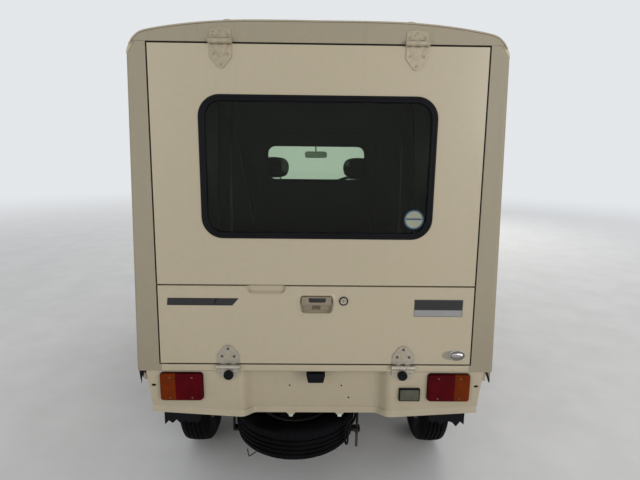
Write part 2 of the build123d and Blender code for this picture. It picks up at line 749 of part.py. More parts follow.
def hinge_strap(low, high, side):
    """Part of a door hinge between two heights: side 1 goes to the pillar, -1 to the door."""
    y = DOOR_FRONT_Y + RUNNING_GAP / 2
    knuckle = rod_z(DOOR_HINGE_R, DOOR_HINGE_X, y, (low, high))
    ends = sorted((y, y + side * 40))
    strap = span((CAB_HALF - 8, DOOR_HINGE_X), ends, (low, high))
    return knuckle + strap


def cab_door(outer, inner):
    """Outer skin to the door's edge, and an inner panel drawn in so that it swings clear."""
    under_skin = cab_block(DOOR_SKIN)
    panel = (outer - under_skin) & along_x(door_outline(), 0, CAB_HALF + 60)
    panel += (under_skin - inner) & along_x(door_outline(DOOR_RETURN), 0, CAB_HALF + 60)
    panel -= along_x(door_window(), 0, CAB_HALF + 60)
    for z in DOOR_HINGE_Z:
        panel += hinge_strap(z + 15 + SEAT_GAP, z + DOOR_HINGE_LENGTH - 15 - SEAT_GAP, -1)
    return panel + door_handle()


def door_handle():
    """Grip near the rear edge of the door, over a hollow for the fingers."""
    rear = DOOR_REAR_Y + DOOR_CORNER_R
    y = (rear, rear + DOOR_HANDLE_LENGTH)
    half = DOOR_HANDLE_HEIGHT / 2
    grip = span((CAB_HALF - 1, CAB_HALF + DOOR_HANDLE_PROUD), y, (DOOR_HANDLE_Z - half, DOOR_HANDLE_Z + half))
    grip = fillet(grip.edges().filter_by(Axis.X), half - 2)
    hollow = span(
        (CAB_HALF, CAB_HALF + DOOR_HANDLE_PROUD - 5), (y[0] + half, y[1] - half),
        (DOOR_HANDLE_Z - half - 1, DOOR_HANDLE_Z + half - 5),
    )
    return grip - hollow


def build_cab():
    outer = cab_block(0)
    inner = cab_block(CAB_WALL)
    save("cab_shell", cab_shell(outer, inner))
    sheet = cab_block(6) - cab_block(6 + GLASS_THICK)
    screen = sheet & along_y(screen_outline(SEAT_GAP), NOSE_Y - 520, NOSE_Y + 60)
    rear = along_y(rear_screen_outline(SEAT_GAP), CAB_REAR_Y + 10, CAB_REAR_Y + 10 + GLASS_THICK)
    save("cab_glass", screen + rear)
    side_glass = sheet & along_x(door_window(SEAT_GAP), 0, CAB_HALF + 60)
    door = cab_door(outer, inner)
    lamp = (cab_block(0) - cab_block(LAMP_DEPTH)) & along_y(lamp_outline(SEAT_GAP), NOSE_Y - 200, NOSE_Y + 60)
    save("headlamps", pair(lamp))
    for name, piece in (("door", door), ("door_glass", side_glass), ("mirror", door_mirror())):
        save(f"right_{name}", piece)
        save(f"left_{name}", mirror(piece, about=Plane.YZ))


def door_mirror():
    """Mirror head on an arm that stands on the door."""
    y = DOOR_FRONT_Y - DOOR_TOP_RUN
    low = MIRROR_ARM_Z - MIRROR_ARM_R
    slope = (CAB_HALF - CAB_TOP_HALF) / (CAB_ROOF_Z - BELT_Z)
    foot = CAB_HALF - (low - BELT_Z) * slope + SEAT_GAP
    base = MIRROR_ARM_Z + MIRROR_ARM_R
    x = (MIRROR_X - MIRROR_WIDTH / 2, MIRROR_X + MIRROR_WIDTH / 2)
    head = span(x, (y - MIRROR_DEPTH, y), (base, base + MIRROR_HEIGHT))
    head = fillet(head.edges(), MIRROR_DEPTH / 3)
    arm = rod_x(MIRROR_ARM_R, (foot, MIRROR_POST_X), y - MIRROR_DEPTH / 2, MIRROR_ARM_Z)
    post = rod_z(MIRROR_ARM_R, MIRROR_POST_X, y - MIRROR_DEPTH / 2, (low, base + MIRROR_DEPTH / 2))
    return head + arm + post


def front_grille():
    frame = along_y(grille_outline(SEAT_GAP) - grille_outline(10), NOSE_Y - GRILLE_DEPTH + SEAT_GAP, NOSE_Y - 8)
    pitch = (GRILLE_HIGH - GRILLE_LOW) / (GRILLE_BARS + 1)
    for count in range(1, GRILLE_BARS + 1):
        z = GRILLE_LOW + count * pitch
        frame += span((-GRILLE_HALF + 5, GRILLE_HALF - 5), (NOSE_Y - GRILLE_DEPTH + 4, NOSE_Y - 12), (z - 5, z + 5))
    return frame


def bumper_plan(inset):
    """Bumper seen from above, drawn in by an inset."""
    half = BOX_HALF - inset
    front = FRONT_Y - inset
    rear = FRONT_Y - BUMPER_REACH - BUMPER_WALL
    points = [
        (-half, rear), (half, rear), (half, front - BUMPER_CORNER_Y), (half - BUMPER_CORNER_X, front),
        (-half + BUMPER_CORNER_X, front), (-half, front - BUMPER_CORNER_Y),
    ]
    plan = Polygon(*points, align=None)
    return fillet([v for v in plan.vertices() if v.Y > rear + 1], BUMPER_R - inset / 2)


def front_bumper():
    ring = along_z(bumper_plan(0), BUMPER_LOW, BUMPER_HIGH)
    ring -= along_z(bumper_plan(BUMPER_WALL), BUMPER_LOW - 1, BUMPER_HIGH + 1)
    half = BOX_HALF + 1
    ring &= span((-half, half), (FRONT_Y - BUMPER_REACH, FRONT_Y + 1), (BUMPER_LOW, BUMPER_HIGH))
    ring -= cab_block(-SEAT_GAP)
    ring -= pair(along_y(indicator_outline(), FRONT_Y - BUMPER_WALL - 20, FRONT_Y + 1))
    for x in (-PLATE_BOLT_SPACING / 2, PLATE_BOLT_SPACING / 2):
        ring -= rod_y(PLATE_BOLT_R, x, (FRONT_Y - BUMPER_WALL - 1, FRONT_Y + 1), PLATE_BOLT_Z)
    return ring - pair(wheel_drum(ARCH_R + 4, 0, CAB_HALF + 60))


def indicator_outline(inset=0.0):
    x = (INDICATOR_X - INDICATOR_WIDTH / 2 + inset, INDICATOR_X + INDICATOR_WIDTH / 2 - inset)
    z = (INDICATOR_Z - INDICATOR_HEIGHT / 2 + inset, INDICATOR_Z + INDICATOR_HEIGHT / 2 - inset)
    return rounded_frame(x, z, 8 - inset)


def front_indicators():
    return pair(along_y(indicator_outline(SEAT_GAP), FRONT_Y - BUMPER_WALL + 4, FRONT_Y - 2))


def wipers():
    """Two parked arms in the plane of the windscreen."""
    plane = Plane(
        origin=(0, NOSE_Y - SCREEN_BASE_SETBACK, SCREEN_BASE_Z), x_dir=(1, 0, 0),
        z_dir=(0, SCREEN_TOP_Z - SCREEN_BASE_Z, SCREEN_TOP_SETBACK - SCREEN_BASE_SETBACK),
    )
    arms = Part()
    for x in WIPER_X:
        blade = Pos(x + BLADE_LENGTH / 2 - 10, -62, 7) * Rot(0, 0, -4) * Box(BLADE_LENGTH, 10, 10)
        arm = Pos(x + WIPER_ARM_LENGTH / 2 - 10, -36, 12) * Rot(0, 0, -14) * Box(WIPER_ARM_LENGTH, 12, 6)
        pivot = Pos(x - 5, -10, 8 + SEAT_GAP) * Cylinder(11, 16)
        arms += plane * (blade + arm + pivot)
    return arms


def steering_plane():
    """Plane of the steering wheel, whose axis leans back with the column."""
    return Plane(
        origin=(STEERING_X, STEERING_Y, STEERING_Z), x_dir=(1, 0, 0),
        z_dir=(0, -sin(radians(COLUMN_LEAN)), cos(radians(COLUMN_LEAN))),
    )


def dashboard():
    """Dashboard with its instrument hood and the steering column."""
    y = NOSE_Y - SCREEN_BASE_SETBACK - CAB_WALL
    low, high = DASH_Z
    profile = rounded([
        (y - DASH_DEPTH, low), (y + 60, low), (y + 60, high), (y - DASH_DEPTH * 0.3, high - 5),
        (y - DASH_DEPTH * 0.9, high - 20),
    ], 24)
    half = CAB_HALF - CAB_WALL - 12
    body = along_x(profile, -half, half) & cab_block(CAB_WALL + SEAT_GAP)
    column = Pos(0, 0, -HUB_DEPTH - SEAT_GAP - COLUMN_LENGTH / 2) * Cylinder(COLUMN_R, COLUMN_LENGTH)
    rear = y - DASH_DEPTH
    hood = rounded([
        (rear + 20, high - 30), (rear + 180, high - 30), (rear + 170, HOOD_TOP_Z), (rear + 60, HOOD_TOP_Z),
    ], 18)
    body += steering_plane() * column
    return body + along_x(hood, STEERING_X - HOOD_HALF, STEERING_X + HOOD_HALF)


def seats():
    """Two separate seats, each with a cushion, a back and a head restraint on two posts."""
    rear = SEAT_REAR_Y
    cushion = rounded([
        (rear + 70, SEAT_BASE_Z), (rear + 55 + CUSHION_LENGTH, SEAT_BASE_Z),
        (rear + 70 + CUSHION_LENGTH, SEAT_HIP_Z + 15), (rear + 70, SEAT_HIP_Z - 15),
    ], 30)
    back = rounded([
        (rear + 40, SEAT_BASE_Z + 20), (rear + 40 + BACK_THICK, SEAT_BASE_Z + 20),
        (rear + 8 + BACK_TOP_THICK, BACK_TOP_Z), (rear + 8, BACK_TOP_Z),
    ], 28)
    low, high = SEAT_X - SEAT_WIDTH / 2, SEAT_X + SEAT_WIDTH / 2
    seat = along_x(cushion, low, high) + along_x(back, low, high)
    y = rear + 8 + BACK_TOP_THICK / 2
    x = (SEAT_X - HEADREST_WIDTH / 2, SEAT_X + HEADREST_WIDTH / 2)
    rest = span(x, (y - HEADREST_THICK / 2, y + HEADREST_THICK / 2), HEADREST_Z)
    seat += fillet(rest.edges(), HEADREST_THICK * 0.3)
    for x in (SEAT_X - HEADREST_POST_X, SEAT_X + HEADREST_POST_X):
        seat += rod_z(HEADREST_POST_R, x, y, (BACK_TOP_Z - 20, HEADREST_Z[0] + 10))
    return pair(seat)


# Chassis


def bearer_places():
    """Cross-bearers of the cargo floor, with two of them over the spring eyes."""
    pitch = 2 * SPRING_HALF_LENGTH / 3
    first = REAR_AXLE_Y - SPRING_HALF_LENGTH
    count = int((BOX_FRONT_Y - BEARER_WIDTH - first) / pitch) + 1
    return [first + index * pitch for index in range(count)]


def chassis_frame():
    """Two rails, high under the box and low under the cab."""
    kick_y = CAB_REAR_Y - KICK_SETBACK
    rear_end = VALANCE_Y + RECESS_DEPTH + VALANCE_SHEET + SEAT_GAP
    front_end = FRONT_Y - BUMPER_WALL - SEAT_GAP
    side = Polygon(
        (rear_end, RAIL_REAR_Z), (kick_y - 200, RAIL_REAR_Z), (kick_y + 20, RAIL_LOW_Z),
        (front_end, RAIL_LOW_Z), (front_end, RAIL_FRONT_TOP),
        (kick_y + 80, RAIL_FRONT_TOP), (kick_y - 60, RAIL_REAR_TOP), (rear_end, RAIL_REAR_TOP), align=None,
    )
    return pair(along_x(side, RAIL_X - RAIL_WIDTH / 2, RAIL_X + RAIL_WIDTH / 2))


def cross_members():
    """Members between the rails, and the brackets that carry the cab and the engine."""
    inner = RAIL_X - RAIL_WIDTH / 2
    outer = RAIL_X + RAIL_WIDTH / 2
    low = (RAIL_LOW_Z + 8, RAIL_FRONT_TOP - 8)
    high = (RAIL_REAR_Z + 8, RAIL_REAR_TOP - 8)
    members = Part()
    for y, z in (
        (GATE_Y + 90, high), (SPARE_Y, high), (REAR_AXLE_Y + SPRING_HALF_LENGTH, high),
        (CAB_REAR_Y - KICK_SETBACK - 230, high), ((FRONT_AXLE_Y + FRONT_Y) / 2, low), (FRONT_Y - 115, low),
    ):
        members += span((-inner, inner), (y - MEMBER_WIDTH / 2, y + MEMBER_WIDTH / 2), z)
    front_bracket_y = (FRONT_AXLE_Y + ARCH_R + FRONT_Y - BUMPER_WALL) / 2
    for y in (CAB_REAR_Y + 60, front_bracket_y):
        members += pair(span((outer, 560), (y - 20, y + 20), (RAIL_LOW_Z + 30, CAB_SKIRT_Z)))
    mount_y = CAB_REAR_Y + 200
    mount_z = (RAIL_FRONT_TOP - 50, RAIL_FRONT_TOP - 20)
    return members + pair(span((ENGINE_HALF + SEAT_GAP, inner), (mount_y - 30, mount_y + 30), mount_z))


def floor_bearers():
    """Beams across the rails under the cargo floor."""
    bearers = Part()
    for y in bearer_places():
        bearers += span(
            (-BOX_HALF + 36, BOX_HALF - 36), (y - BEARER_WIDTH / 2, y + BEARER_WIDTH / 2),
            (RAIL_REAR_TOP, DECK_Z - DECK_THICK),
        )
    return bearers


def strut_between(start, end, radius):
    """Round bar from one point to another."""
    line = Vector(*end) - Vector(*start)
    plane = Plane(origin=start, z_dir=line)
    return plane * Cylinder(radius, line.length, align=(Align.CENTER, Align.CENTER, Align.MIN))


def engine():
    """Engine block, gearbox and drive shaft, closed inside."""
    rear = CAB_REAR_Y + ENGINE_SETBACK
    block = span((-ENGINE_HALF, ENGINE_HALF), (rear, rear + ENGINE_LENGTH), (ENGINE_LOW_Z, CAB_SKIRT_Z - 8))
    gearbox = rod_y(GEARBOX_R, 0, (rear + 20 - GEARBOX_LENGTH, rear + 20), SHAFT_Z)
    start = (0, rear + 25 - GEARBOX_LENGTH, SHAFT_Z)
    end = (DIFF_X, REAR_AXLE_Y + DIFF_NOSE + SEAT_GAP + 12, AXLE_Z + 8)
    shaft = strut_between(start, end, SHAFT_R)
    joints = Pos(*start) * Sphere(38) + Pos(end[0], end[1] + 14, end[2]) * Sphere(26)
    return fillet(block.edges(), 20) + gearbox + shaft + joints


def fuel_tank():
    low, high = TANK_X
    rear = REAR_AXLE_Y + SPRING_HALF_LENGTH - 60
    tank = span((-high, -low), (rear, rear + TANK_LENGTH), (TANK_LOW_Z, RAIL_REAR_TOP))
    return fillet(tank.edges(), TANK_R)


def exhaust():
    """Silencer with its two pipes, hung from two of the floor's bearers."""
    x, z = EXHAUST_X, EXHAUST_Z
    bearers = bearer_places()
    rear, front = bearers[3], bearers[4]
    silencer = rod_y(MUFFLER_R, x, (rear - 60, front + 60), z)
    silencer += rod_y(PIPE_R, x, (front + 40, front + 330), z) + rod_y(PIPE_R, x, (rear - 110, rear - 40), z)
    for y in (rear, front):
        silencer += span((x - 8, x + 8), (y - 12, y + 12), (z + MUFFLER_R - 16, RAIL_REAR_TOP))
    return silencer


def rear_axle():
    end = REAR_TRACK / 2 + DRUM_FACE - SEAT_GAP
    beam = rod_x(BEAM_R, (-end, end), REAR_AXLE_Y, AXLE_Z)
    nose = rod_y(46, DIFF_X, (REAR_AXLE_Y + 40, REAR_AXLE_Y + DIFF_NOSE), AXLE_Z + 8)
    bowl = Pos(DIFF_X, REAR_AXLE_Y, AXLE_Z) * Rot(0, 90, 0) * Cylinder(DIFF_R, 150)
    axle = beam + nose + fillet(bowl.edges(), 30)
    plate_x = REAR_TRACK / 2 - DRUM_DEPTH
    axle += pair(rod_x(DRUM_R - 2, (plate_x - 7, plate_x - 1), REAR_AXLE_Y, AXLE_Z))
    return axle


def leaf_springs():
    """Three leaves clamped on top of the axle, curved up to eyes that hang from the frame."""
    x = SPRING_X
    low, high = x - SPRING_WIDTH / 2, x + SPRING_WIDTH / 2
    main = AXLE_Z + BEAM_R + SPRING_PAD + 3 * SPRING_LEAF
    stack = Part()
    for count, share in enumerate((1.0, 0.72, 0.45)):
        half = SPRING_HALF_LENGTH * share
        sag = SPRING_RISE * share ** 2
        top = main - count * SPRING_LEAF
        under = top - SPRING_LEAF
        section = make_face([
            ThreePointArc((-half, top + sag), (0, top), (half, top + sag)),
            Line((half, top + sag), (half, under + sag)),
            ThreePointArc((half, under + sag), (0, under), (-half, under + sag)),
            Line((-half, under + sag), (-half, top + sag)),
        ])
        stack += along_x(Pos(REAR_AXLE_Y, 0) * section, low, high)
    eye_z = main + SPRING_RISE
    for y in (REAR_AXLE_Y - SPRING_HALF_LENGTH, REAR_AXLE_Y + SPRING_HALF_LENGTH):
        stack += rod_x(SPRING_EYE_R, (low, high), y, eye_z)
        stack += span((low, high), (y - SPRING_PAD, y + SPRING_PAD), (eye_z, RAIL_REAR_TOP))
    reach = (REAR_AXLE_Y - CLAMP_HALF, REAR_AXLE_Y + CLAMP_HALF)
    under_axle = AXLE_Z - BEAM_R - SEAT_GAP
    clamp = span((low, high), reach, (AXLE_Z, main - 3 * SPRING_LEAF + 1))
    clamp += span((low, high), reach, (under_axle - SPRING_PAD, under_axle))
    clamp += span((low, high), reach, (main - 1, main + SPRING_LEAF))
    clamp -= rod_x(BEAM_R + SEAT_GAP, (low - 5, high + 5), REAR_AXLE_Y, AXLE_Z)
    for bolt_y in (reach[0] + 2 * CLAMP_BOLT_R, reach[1] - 2 * CLAMP_BOLT_R):
        for bolt_x in (low + CLAMP_BOLT_R, high - CLAMP_BOLT_R):
            clamp += rod_z(CLAMP_BOLT_R, bolt_x, bolt_y, (under_axle - 2 * SPRING_PAD, main + 2 * SPRING_LEAF))
    return pair(stack + clamp)


def front_suspension():
    """Lower arms on the frame, and the springs between the struts and their towers."""
    x = KINGPIN_X
    turns = int((TOWER_TOP_Z - COIL_LOW_Z) / COIL_PITCH)
    edge = [(0, COIL_LOW_Z)]
    for count in range(turns):
        z = COIL_LOW_Z + count * COIL_PITCH
        edge += [(COIL_R, z + 1), (COIL_R, z + COIL_PITCH * 0.5), (COIL_R - 16, z + COIL_PITCH * 0.6),
                 (COIL_R - 16, z + COIL_PITCH * 0.9)]
    edge += [(COIL_R, TOWER_TOP_Z - 8), (COIL_R, TOWER_TOP_Z), (0, TOWER_TOP_Z)]
    coil = Pos(x, FRONT_AXLE_Y, 0) * revolve(Plane.XZ * Polygon(*edge, align=None), axis=Axis.Z)
    arm = along_z(make_hull([
        *(Pos(x, FRONT_AXLE_Y) * Circle(26)).edges(),
        *(Pos(RAIL_X + 40, FRONT_AXLE_Y) * Rectangle(30, 170)).edges(),
    ]), ARM_Z - 20, ARM_Z)
    hanger = span((RAIL_X - 20, RAIL_X + 40), (FRONT_AXLE_Y - 80, FRONT_AXLE_Y + 80), (ARM_Z - 20, RAIL_LOW_Z))
    return pair(coil) + pair(arm + hanger)


def knuckle():
    x, y = KINGPIN_X, FRONT_AXLE_Y
    post = rod_z(30, x, y, (ARM_Z + SEAT_GAP, 350)) + rod_z(STRUT_R, x, y, (340, COIL_LOW_Z - SEAT_GAP))
    spindle = rod_x(24, (x, FRONT_TRACK / 2 + DRUM_FACE - SEAT_GAP), y, AXLE_Z)
    plate_x = FRONT_TRACK / 2 - DRUM_DEPTH
    plate = rod_x(DRUM_R - 2, (plate_x - 7, plate_x - 1), y, AXLE_Z)
    return post + spindle + plate


# Wheels


def tyre():
    """Tyre about the X axis, as a ring with rounded shoulders and a flat tread."""
    half = TYRE_WIDTH / 2
    bead = RIM_WIDTH / 2 - RIM_THICK - SEAT_GAP
    section = Polygon(
        (RIM_R + 1, -bead), (RIM_R + 12, -bead), (RIM_R + 48, -half), (TYRE_R - 34, -half + 4), (TYRE_R - 5, -half + 22),
        (TYRE_R, 0), (TYRE_R - 5, half - 22), (TYRE_R - 34, half - 4), (RIM_R + 48, half),
        (RIM_R + 12, bead), (RIM_R + 1, bead), align=None,
    )
    section = fillet([v for v in section.vertices() if RIM_R + 40 < v.X < TYRE_R - 2], 16)
    ring = revolve(Plane.XZ * section, axis=Axis.Z)
    return Rot(0, 90, 0) * ring


def rim(dish=1):
    """Steel rim about the X axis with a bolted disc; dish 1 puts the disc's face towards +X."""
    half = RIM_WIDTH / 2
    barrel_outline = Polygon(
        (RIM_R, -half), (RIM_R + 10, -half), (RIM_R + 10, -half + RIM_THICK), (RIM_R, -half + RIM_THICK), (RIM_R, -half + 14),
        (RIM_R - 16, -half + 34), (RIM_R - 16, half - 34), (RIM_R, half - 14), (RIM_R, half - RIM_THICK),
        (RIM_R + 10, half - RIM_THICK), (RIM_R + 10, half), (RIM_R, half), (RIM_R - 20, half - 32), (RIM_R - 20, -half + 32), align=None,
    )
    disc_outline = Polygon(
        (0, 14), (72, 14), (92, 30), (118, 32), (RIM_R - 18, 12), (RIM_R - 18, 7), (117, 27), (94, 25),
        (74, 8), (0, 8), align=None,
    )
    ring = revolve(Plane.XZ * barrel_outline, axis=Axis.Z)
    disc = revolve(Plane.XZ * disc_outline, axis=Axis.Z)
    disc -= [Rot(0, 0, count * 45) * Pos(105, 0, 30) * Cylinder(11, 30) for count in range(8)]
    disc += [Rot(0, 0, 45 + count * 90) * Pos(50, 0, 18) * Cylinder(10, 16) for count in range(4)]
    disc += Pos(0, 0, 18) * Cylinder(24, 22)
    wheel = ring + disc
    return Rot(0, 90 * dish, 0) * wheel


def brake_drum():
    """Drum behind the disc, open towards the middle of the vehicle."""
    outline = Polygon(
        (0, DRUM_FACE), (DRUM_R - 8, DRUM_FACE), (DRUM_R - 8, -DRUM_DEPTH), (DRUM_R, -DRUM_DEPTH),
        (DRUM_R, DRUM_FACE + 8), (0, DRUM_FACE + 8), align=None,
    )
    return Rot(0, 90, 0) * revolve(Plane.XZ * outline, axis=Axis.Z)


WHEELS = (
    # name, X, Y
    ("front_left", -FRONT_TRACK / 2, FRONT_AXLE_Y),
    ("front_right", FRONT_TRACK / 2, FRONT_AXLE_Y),
    ("rear_left", -REAR_TRACK / 2, REAR_AXLE_Y),
    ("rear_right", REAR_TRACK / 2, REAR_AXLE_Y),
)


def build_wheels():
    tyre_form = tyre()
    right = rim() + brake_drum()
    left = mirror(right, about=Plane.YZ)
    for name, x, y in WHEELS:
        place = Pos(x, y, AXLE_Z)
        save(f"{name}_tyre", place * tyre_form)
        save(f"{name}_rim", place * (right if x > 0 else left))
    flat = Pos(SPARE_X, SPARE_Y, SPARE_Z) * Rot(0, 90, 0)
    save("spare_tyre", flat * tyre_form)
    save("spare_rim", flat * rim())


def spare_carrier():
    """Bar under the spare wheel, hooked on the left rail and hung from a rod with a nut."""
    top = SPARE_Z - TYRE_WIDTH / 2 - SEAT_GAP
    low = top - CARRIER_THICK
    left = SPARE_X - TYRE_R - CARRIER_SIDE
    side = CARRIER_THICK / 2
    y = (SPARE_Y - 18, SPARE_Y + 18)
    hook_z = RAIL_REAR_Z + 30
    frame = span((left - side, CARRIER_ROD_X + CARRIER_SIDE), y, (low, top))
    frame += span((left - side, left), y, (low, hook_z))
    frame += span((left - side, -RAIL_X - RAIL_WIDTH / 2 - SEAT_GAP), y, (hook_z - side, hook_z))
    frame += rod_z(CARRIER_ROD_R, CARRIER_ROD_X, SPARE_Y, (low - 28, RAIL_REAR_Z + 8))
    return frame + rod_z(2 * CARRIER_ROD_R, CARRIER_ROD_X, SPARE_Y, (low - 14, low))


# Rear valance, lamps and flaps


def valance_line(y):
    """Line of the valance from above, with soft bends forward into the recess."""
    middle = (VALANCE_BEND_X + RECESS_HALF) / 2
    deep = y + RECESS_DEPTH
    return [
        Line((-VALANCE_HALF, y), (-VALANCE_BEND_X, y)),
        Bezier((-VALANCE_BEND_X, y), (-middle, y), (-middle, deep), (-RECESS_HALF, deep)),
        Line((-RECESS_HALF, deep), (RECESS_HALF, deep)),
        Bezier((RECESS_HALF, deep), (middle, deep), (middle, y), (VALANCE_BEND_X, y)),
        Line((VALANCE_BEND_X, y), (VALANCE_HALF, y)),
    ]


def valance_wall():
    """Upright sheet of the valance, cut off a little under the crease of its flange."""
    front = VALANCE_Y + VALANCE_SHEET
    plan = make_face([
        *valance_line(VALANCE_Y), Line((VALANCE_HALF, VALANCE_Y), (VALANCE_HALF, front)),
        *reversed(valance_line(front)), Line((-VALANCE_HALF, front), (-VALANCE_HALF, VALANCE_Y)),
    ])
    lift = FLANGE_HEIGHT - VALANCE_SHEET
    foot = VALANCE_HALF - VALANCE_FLARE
    half = [
        (RECESS_HALF, RECESS_LOW + lift), (VALANCE_BEND_X, VALANCE_LOW + lift),
        (foot, VALANCE_LOW + VALANCE_RISE + lift), (VALANCE_HALF, SILL_Z),
    ]
    outline = Polygon(*half, *[(-x, z) for x, z in reversed(half)], align=None)
    wall = along_z(plan, RECESS_LOW, SILL_Z)
    return wall & along_y(outline, VALANCE_Y - 1, front + RECESS_DEPTH + 1)


def valance_flange():
    """Lower edge of the valance, kicked out along the crease."""
    deep = VALANCE_Y + RECESS_DEPTH
    reach = (VALANCE_BEND_X - RECESS_HALF) / 2
    foot = VALANCE_HALF - VALANCE_FLARE
    fall = reach * VALANCE_RISE / (foot - VALANCE_BEND_X)
    edge = [
        (RECESS_HALF, deep, RECESS_LOW), (RECESS_HALF + reach, deep, RECESS_LOW),
        (VALANCE_BEND_X - reach, VALANCE_Y, VALANCE_LOW - fall), (VALANCE_BEND_X, VALANCE_Y, VALANCE_LOW),
        (foot, VALANCE_Y, VALANCE_LOW + VALANCE_RISE),
    ]
    other = [(-x, y, z) for x, y, z in reversed(edge)]
    path = Curve() + [
        Line(other[0], other[1]), Bezier(*other[1:]), Line(other[-1], edge[0]), Bezier(*edge[:4]),
        Line(edge[3], edge[4]),
    ]
    section = Plane(origin=other[0], x_dir=(0, 1, 0), z_dir=(1, 0, 0)) * Polygon(
        (0, FLANGE_HEIGHT), (-FLANGE_PROUD, 0), (VALANCE_SHEET - FLANGE_PROUD, 0), (VALANCE_SHEET, FLANGE_HEIGHT),
        align=None,
    )
    return sweep(section, path=path.wires()[0])


def rear_valance():
    """Valance under the sill, with its tabs, slots and holes."""
    panel = valance_wall() + valance_flange()
    deep = VALANCE_Y + RECESS_DEPTH
    tab = make_hull([
        *(Pos(TAB_X, RECESS_LOW + VALANCE_SHEET) * Rectangle(3 * TAB_WIDTH, VALANCE_SHEET)).edges(),
        *(Pos(TAB_X, RECESS_LOW - TAB_DROP + TAB_WIDTH / 2) * Circle(TAB_WIDTH / 2)).edges(),
    ])
    lowest = deep - FLANGE_PROUD + 1
    panel += pair(along_y(tab, lowest, lowest + VALANCE_SHEET - 1))
    panel -= pair(along_y(Pos(SLOT_X, SLOT_Z) * SlotOverall(SLOT_WIDTH, SLOT_HEIGHT), VALANCE_Y - 1, deep))
    through = (deep - 1, deep + VALANCE_SHEET + 1)
    panel -= pair(rod_y(PLATE_BOLT_R, PLATE_BOLT_SPACING / 2, through, PLATE_HOLE_Z))
    return panel - rod_y(DRAIN_R, DRAIN_X, through, DRAIN_Z)


def tail_lamp(low_y, high_y, grow=0.0):
    """Body of one tail lamp between two depths, larger than its lens by a rim."""
    x = (TAIL_LAMP_X[0] - grow, TAIL_LAMP_X[1] + grow)
    z = (TAIL_LAMP_Z[0] - grow, TAIL_LAMP_Z[1] + grow)
    return along_y(rounded_frame(x, z, TAIL_LAMP_R + grow), low_y, high_y)


def build_rear_lamps():
    base = VALANCE_Y - TAIL_LAMP_BASE
    save("tail_lamp_housings", pair(tail_lamp(base, VALANCE_Y, TAIL_LAMP_RIM)))
    lens = tail_lamp(base - TAIL_LAMP_PROUD, base)
    save("tail_lamp_lenses", pair(fillet(lens.faces().sort_by(Axis.Y)[0].edges(), TAIL_LAMP_RIM)))
    reverse = rounded_frame(REVERSE_LAMP_X, REVERSE_LAMP_Z, 4)
    reverse = along_y(reverse, VALANCE_Y - REVERSE_LAMP_PROUD, VALANCE_Y)
    low, high = PLATE_LAMP_Z
    narrow = PLATE_LAMP_HALF - PLATE_LAMP_TAPER
    plate = rounded([(-PLATE_LAMP_HALF, high), (PLATE_LAMP_HALF, high), (narrow, low), (-narrow, low)], 5)
    save("rear_small_lamps", reverse + along_y(plate, GATE_Y - PLATE_LAMP_PROUD, VALANCE_Y + RECESS_DEPTH))


def mudflaps():
    """Rubber flap behind each rear wheel, hung from a bar under the floor."""
    flap = span(FLAP_X, (FLAP_Y - FLAP_THICK / 2, FLAP_Y + FLAP_THICK / 2), (FLAP_LOW_Z, SKIRT_LOW_Z))
    bar = span(FLAP_X, (FLAP_Y - 10, FLAP_Y + 10), (SKIRT_LOW_Z - 2, DECK_Z - DECK_THICK))
    return pair(flap + bar)


# Hinges


def build_hinges():
    """Leaves and knuckles of the four hinges; the lower ones carry rubber buffers."""
    fixed = Part()
    hatch_leaves = Part()
    tail_leaves = Part()
    outer, inner = ((0, 0.2), (0.4, 0.6), (0.8, 1)), ((0.2, 0.4), (0.6, 0.8))
    for side in (-1, 1):
        x = side * HATCH_HINGE_X
        fixed += leaf(x, HATCH_HINGE_Z + HATCH_FIXED_REACH, HATCH_HINGE_Z, 18, HATCH_BARREL_LENGTH - 8, 16)
        hatch_leaves += leaf(x, HATCH_HINGE_Z - HATCH_LEAF_REACH, HATCH_HINGE_Z, 14, HATCH_BARREL_LENGTH - 8, 30)
        fixed += [hinge_section(x, HATCH_HINGE_Z, HATCH_BARREL_LENGTH, *share, 1) for share in outer]
        hatch_leaves += [hinge_section(x, HATCH_HINGE_Z, HATCH_BARREL_LENGTH, *share, -1) for share in inner]
        x = side * TAIL_HINGE_X
        tail_leaves += leaf(x, TAIL_HINGE_Z + TAIL_LEAF_REACH, TAIL_HINGE_Z, 26, TAIL_BARREL_LENGTH - 8, 28)
        tail_leaves += [hinge_section(x, TAIL_HINGE_Z, TAIL_BARREL_LENGTH, *share, 1) for share in inner]
        plate = leaf(x, TAIL_HINGE_Z - TAIL_FIXED_REACH, TAIL_HINGE_Z, 30, TAIL_BARREL_LENGTH - 8, 16)
        fixed += plate
        fixed += Pos(0, LEAF_THICK, 0) * plate & span(
            (x - TAIL_BARREL_LENGTH, x + TAIL_BARREL_LENGTH), (GATE_Y, VALANCE_Y), (VALANCE_LOW, SILL_Z))
        fixed += [hinge_section(x, TAIL_HINGE_Z, TAIL_BARREL_LENGTH, *share, -1) for share in outer]
        seat_y = GATE_Y - LEAF_THICK
        buffer = rod_y(BUFFER_R, x, (seat_y - BUFFER_PROUD, seat_y), TAIL_HINGE_Z - BUFFER_DROP)
        fixed += fillet(buffer.faces().sort_by(Axis.Y)[0].edges(), BUFFER_PROUD / 4)
    save("fixed_hinge_leaves", fixed)
    save("hatch_hinge_leaves", hatch_leaves)
    save("tailgate_hinge_leaves", tail_leaves)


def hinge_section(x, z, length, share_low, share_high, direction):
    """One knuckle of a barrel, with the strip that joins it to the leaf above (1) or below (-1)."""
    low = x - length / 2 + length * share_low + SEAT_GAP / 2
    high = x - length / 2 + length * share_high - SEAT_GAP / 2
    knuckle = rod_x(BARREL_R, (low, high), HINGE_Y, z)
    ends = sorted((z + direction * 2, z + direction * 14))
    strip = span((low, high), (GATE_Y - LEAF_THICK, GATE_Y), ends)
    return knuckle + strip


